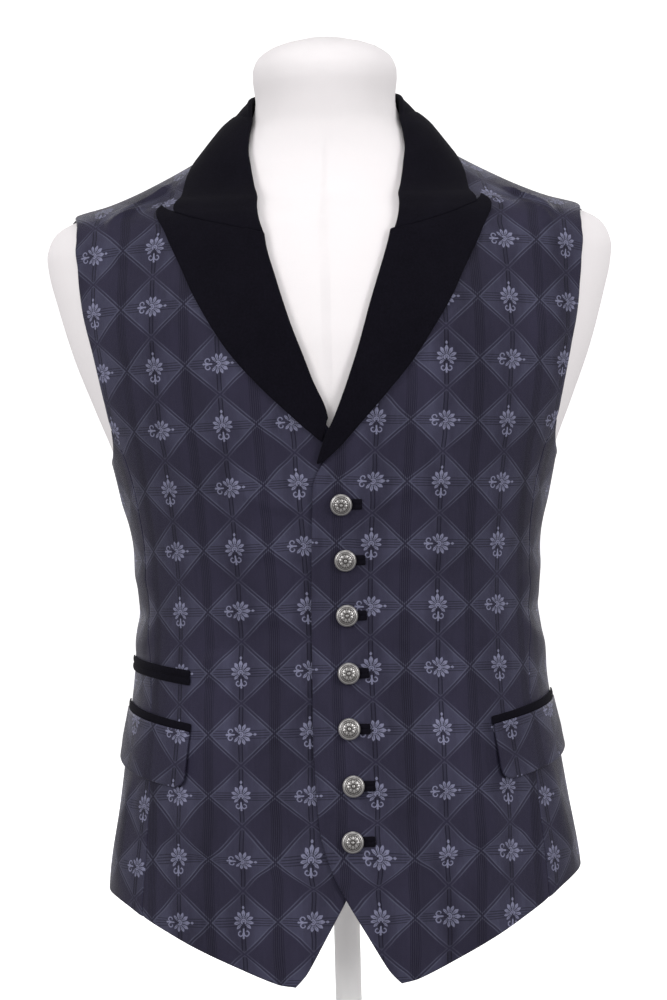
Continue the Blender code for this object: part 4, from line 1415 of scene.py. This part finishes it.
class WaistcoatTrimSettings(bpy.types.PropertyGroup):
    """Colours of the plain cloths, the buttons and the form."""

    wool: shade("Wool", "Colour of the lapels, the collar and the bindings", (0.0036, 0.0032, 0.0056))
    satin: shade("Satin", "Colour of the back", (0.0150, 0.0140, 0.0215))
    jersey: shade("Jersey", "Colour of the form's cover", (0.80, 0.77, 0.778))
    silver: shade("Silver", "Colour of the buttons where they are rubbed", (0.43, 0.42, 0.415))
    silver_recess: shade("Silver recesses", "Colour of the buttons' dark parts", (0.055, 0.050, 0.048))
    paint: shade("Paint", "Colour of the stand", (0.93, 0.925, 0.92))
    button_radius: length("Button radius", "Half the width of a button", 0.0081, 0.006, 0.012)


class WaistcoatStageSettings(bpy.types.PropertyGroup):
    """The studio round the form."""

    camera_distance: length("Camera distance", "From the form's middle to the camera", 2.6, 1.0, 6.0)
    framed_height: length("Framed height", "How much the picture takes in, top to bottom", 0.77, 0.3, 2.0)
    paper: shade("Paper", "Colour of the floor and the backdrop", (0.90, 0.90, 0.90))


# ---------------------------------------------------------------------------------------------------
# Stage
# ---------------------------------------------------------------------------------------------------

CAMERA_ASIDE = -0.00177
CAMERA_HEIGHT = 0.43
CAMERA_TILT = -1.5
FRAME_MM = 36
PAPER_RADIUS = 5.5
PAPER_BEND = 1.2
PAPER_HEIGHT = 5.0
Lamp = namedtuple("Lamp", "name place aim width height power")
LAMPS = (
    Lamp("front_left_softbox", (1.9, -1.7, 1.25), (0, 0, 0.45), 0.7, 1.6, 30),
    Lamp("front_right_softbox", (-1.9, -1.7, 1.25), (0, 0, 0.45), 0.7, 1.6, 30),
    Lamp("front_fill", (0, -3.2, 1.1), (0, 0, 0.45), 2.2, 1.6, 2),
    Lamp("top_softbox", (0, -0.7, 2.5), (0, 0, 0.5), 1.4, 1.2, 9),
    Lamp("rear_left_fill", (1.3, 2.4, 1.3), (0, 0, 0.42), 1.0, 1.6, 11),
    Lamp("rear_right_fill", (-1.3, 2.4, 1.3), (0, 0, 0.42), 1.0, 1.6, 11),
)


def add_lamp(lamp):
    light = bpy.data.lights.new(lamp.name, "AREA")
    light.shape = "RECTANGLE"
    light.size = lamp.width
    light.size_y = lamp.height
    light.energy = lamp.power
    item = bpy.data.objects.new(lamp.name, light)
    bpy.context.scene.collection.objects.link(item)
    towards = Vector(lamp.aim) - Vector(lamp.place)
    item.matrix_world = Matrix.Translation(lamp.place) @ towards.to_track_quat("-Z", "Y").to_matrix().to_4x4()
    item.visible_camera = False


def add_paper(colour):
    """A round floor that curves up into a wall of paper all the way round. It lights nothing."""
    turn = np.linspace(0, 2 * np.pi, 96, endpoint=False)[None, :]
    bend = np.linspace(0, math.pi / 2, 13)
    radius = [0.001, 1.0, 2.5, PAPER_RADIUS - PAPER_BEND]
    radius += [PAPER_RADIUS - PAPER_BEND + PAPER_BEND * math.sin(t) for t in bend[1:]] + [PAPER_RADIUS]
    height = [0.0] * 4 + [PAPER_BEND - PAPER_BEND * math.cos(t) for t in bend[1:]] + [PAPER_HEIGHT]
    radius = np.array(radius)[:, None]
    height = np.array(height)[:, None]
    points = np.stack([radius * np.cos(turn), radius * np.sin(turn), height + 0 * turn], -1)
    mesh = bpy.data.meshes.new("paper_sweep")
    mesh.from_pydata(points.reshape(-1, 3).tolist(), [], quads(len(radius), 96, closed=True).tolist())
    mesh.shade_smooth()
    sweep = bpy.data.objects.new("paper_sweep", mesh)
    bpy.context.scene.collection.objects.link(sweep)
    sweep.visible_diffuse = False
    sweep.visible_glossy = False
    mesh.materials.append(plain_paper("Paper sweep", colour))


def add_camera(distance, framed):
    camera = bpy.data.cameras.new("camera")
    camera.sensor_width = FRAME_MM
    camera.lens = FRAME_MM * distance / framed
    item = bpy.data.objects.new("camera", camera)
    bpy.context.scene.collection.objects.link(item)
    upright = Matrix.Rotation(math.pi / 2, 4, "X") @ Matrix.Rotation(math.radians(CAMERA_TILT), 4, "Z")
    item.matrix_world = Matrix.Translation((CAMERA_ASIDE, -distance, CAMERA_HEIGHT)) @ upright
    bpy.context.scene.camera = item


def light_the_air(colour, strength):
    world = bpy.data.worlds.new("studio_air")
    world.use_nodes = True
    background = world.node_tree.nodes["Background"]
    background.inputs["Color"].default_value = (*colour, 1)
    background.inputs["Strength"].default_value = strength
    bpy.context.scene.world = world


# ---------------------------------------------------------------------------------------------------
# Operators
# ---------------------------------------------------------------------------------------------------

SIDES = (("left", LEFT), ("right", RIGHT))


class WAISTCOAT_OT_form(bpy.types.Operator):
    """Pad the form and set it on its stand"""

    bl_idname = "waistcoat.form"
    bl_label = "Form and Stand"

    def execute(self, context):
        make_form(cream_jersey("Cream jersey"))
        paint = painted_steel("Painted steel")
        make_turned("base_plate", BASE_PROFILE, paint, "stand_base")
        foot = BASE_PROFILE[-1].height + POLE_CLEAR
        top = FORM_BOTTOM - POLE_CLEAR
        pole = (Turned(0, foot), Turned(POLE_RADIUS, foot), Turned(POLE_RADIUS, top), Turned(0, top))
        make_turned("pole", pole, paint, "stand_pole")
        return {"FINISHED"}


class WAISTCOAT_OT_fronts(bpy.types.Operator):
    """Cut the fronts and the side pieces from jacquard"""

    bl_idname = "waistcoat.fronts"
    bl_label = "Fronts and Sides"

    def execute(self, context):
        cloth = jacquard("Diamond jacquard")
        for word, side in SIDES:
            make_front(f"front_{word}", side, cloth)
            make_side(f"side_{word}", side, cloth)
        return {"FINISHED"}


class WAISTCOAT_OT_back(bpy.types.Operator):
    """Cut both halves of the back from plain satin"""

    bl_idname = "waistcoat.back"
    bl_label = "Back"

    def execute(self, context):
        cloth = back_satin("Back satin")
        for word, side in SIDES:
            make_back(f"back_{word}", side, cloth)
        return {"FINISHED"}


class WAISTCOAT_OT_lapels(bpy.types.Operator):
    """Turn the peaked lapels and the collar over in black wool"""

    bl_idname = "waistcoat.lapels"
    bl_label = "Lapels and Collar"

    def execute(self, context):
        wool = black_wool("Black wool")
        make_lapel("lapel_left", LAPEL_LEFT, LEFT, wool)
        make_lapel("lapel_right", LAPEL_RIGHT, RIGHT, wool)
        make_collar(wool)
        return {"FINISHED"}


class WAISTCOAT_OT_pockets(bpy.types.Operator):
    """Set the flaps and the jets of the pockets"""

    bl_idname = "waistcoat.pockets"
    bl_label = "Pockets"

    def execute(self, context):
        cloth = jacquard("Flap jacquard")
        wool = black_wool("Jet wool")
        for word, side in SIDES:
            make_flap(f"pocket_flap_{word}", side, cloth)
            make_jet(f"pocket_jet_{word}", POCKET_JET, side, wool)
        make_jet("ticket_jet_low", TICKET_JET_LOW, RIGHT, wool)
        make_jet("ticket_jet_high", TICKET_JET_HIGH, RIGHT, wool)
        return {"FINISHED"}


class WAISTCOAT_OT_buttons(bpy.types.Operator):
    """Bind the buttonholes and sew on the buttons"""

    bl_idname = "waistcoat.buttons"
    bl_label = "Buttonholes and Buttons"

    def execute(self, context):
        wool = black_wool("Binding wool")
        metal = antique_silver("Antique silver")
        for number, place in enumerate(BUTTONS, 1):
            make_buttonhole(f"buttonhole_{number}", place, wool)
            make_button(f"button_{number}", place, number, metal)
        return {"FINISHED"}


class WAISTCOAT_OT_stage(bpy.types.Operator):
    """Lay the paper sweep, and set the lamps and the camera"""

    bl_idname = "waistcoat.stage"
    bl_label = "Stage"

    def execute(self, context):
        stage = context.scene.waistcoat_stage
        add_paper(stage.paper)
        for lamp in LAMPS:
            add_lamp(lamp)
        light_the_air((1, 0.985, 0.99), 0.55)
        add_camera(stage.camera_distance, stage.framed_height)
        context.scene.view_settings.view_transform = "Standard"
        return {"FINISHED"}


class WAISTCOAT_PT_panel(bpy.types.Panel):
    """The waistcoat's settings and the steps that make it"""

    bl_idname = "WAISTCOAT_PT_panel"
    bl_label = "Waistcoat"
    bl_space_type = "VIEW_3D"
    bl_region_type = "UI"
    bl_category = "Waistcoat"

    def draw(self, context):
        for group in SETTINGS:
            settings = getattr(context.scene, group)
            box = self.layout.box()
            for key in settings.__annotations__:
                box.prop(settings, key)
        for step in STEPS:
            self.layout.operator(step.bl_idname)


STEPS = (
    WAISTCOAT_OT_form,
    WAISTCOAT_OT_fronts,
    WAISTCOAT_OT_back,
    WAISTCOAT_OT_lapels,
    WAISTCOAT_OT_pockets,
    WAISTCOAT_OT_buttons,
    WAISTCOAT_OT_stage,
)
SETTINGS = {
    "waistcoat_jacquard": WaistcoatJacquardSettings,
    "waistcoat_cloth": WaistcoatClothSettings,
    "waistcoat_trim": WaistcoatTrimSettings,
    "waistcoat_stage": WaistcoatStageSettings,
}


def register():
    for group in SETTINGS.values():
        bpy.utils.register_class(group)
    for name, group in SETTINGS.items():
        setattr(bpy.types.Scene, name, PointerProperty(type=group))
    for step in STEPS:
        bpy.utils.register_class(step)
    bpy.utils.register_class(WAISTCOAT_PT_panel)


def unregister():
    bpy.utils.unregister_class(WAISTCOAT_PT_panel)
    for step in reversed(STEPS):
        bpy.utils.unregister_class(step)
    for name in SETTINGS:
        delattr(bpy.types.Scene, name)
    for group in reversed(SETTINGS.values()):
        bpy.utils.unregister_class(group)


def main():
    register()
    bpy.ops.waistcoat.form()
    bpy.ops.waistcoat.fronts()
    bpy.ops.waistcoat.back()
    bpy.ops.waistcoat.lapels()
    bpy.ops.waistcoat.pockets()
    bpy.ops.waistcoat.buttons()
    bpy.ops.waistcoat.stage()


if __name__ == "__main__":
    main()
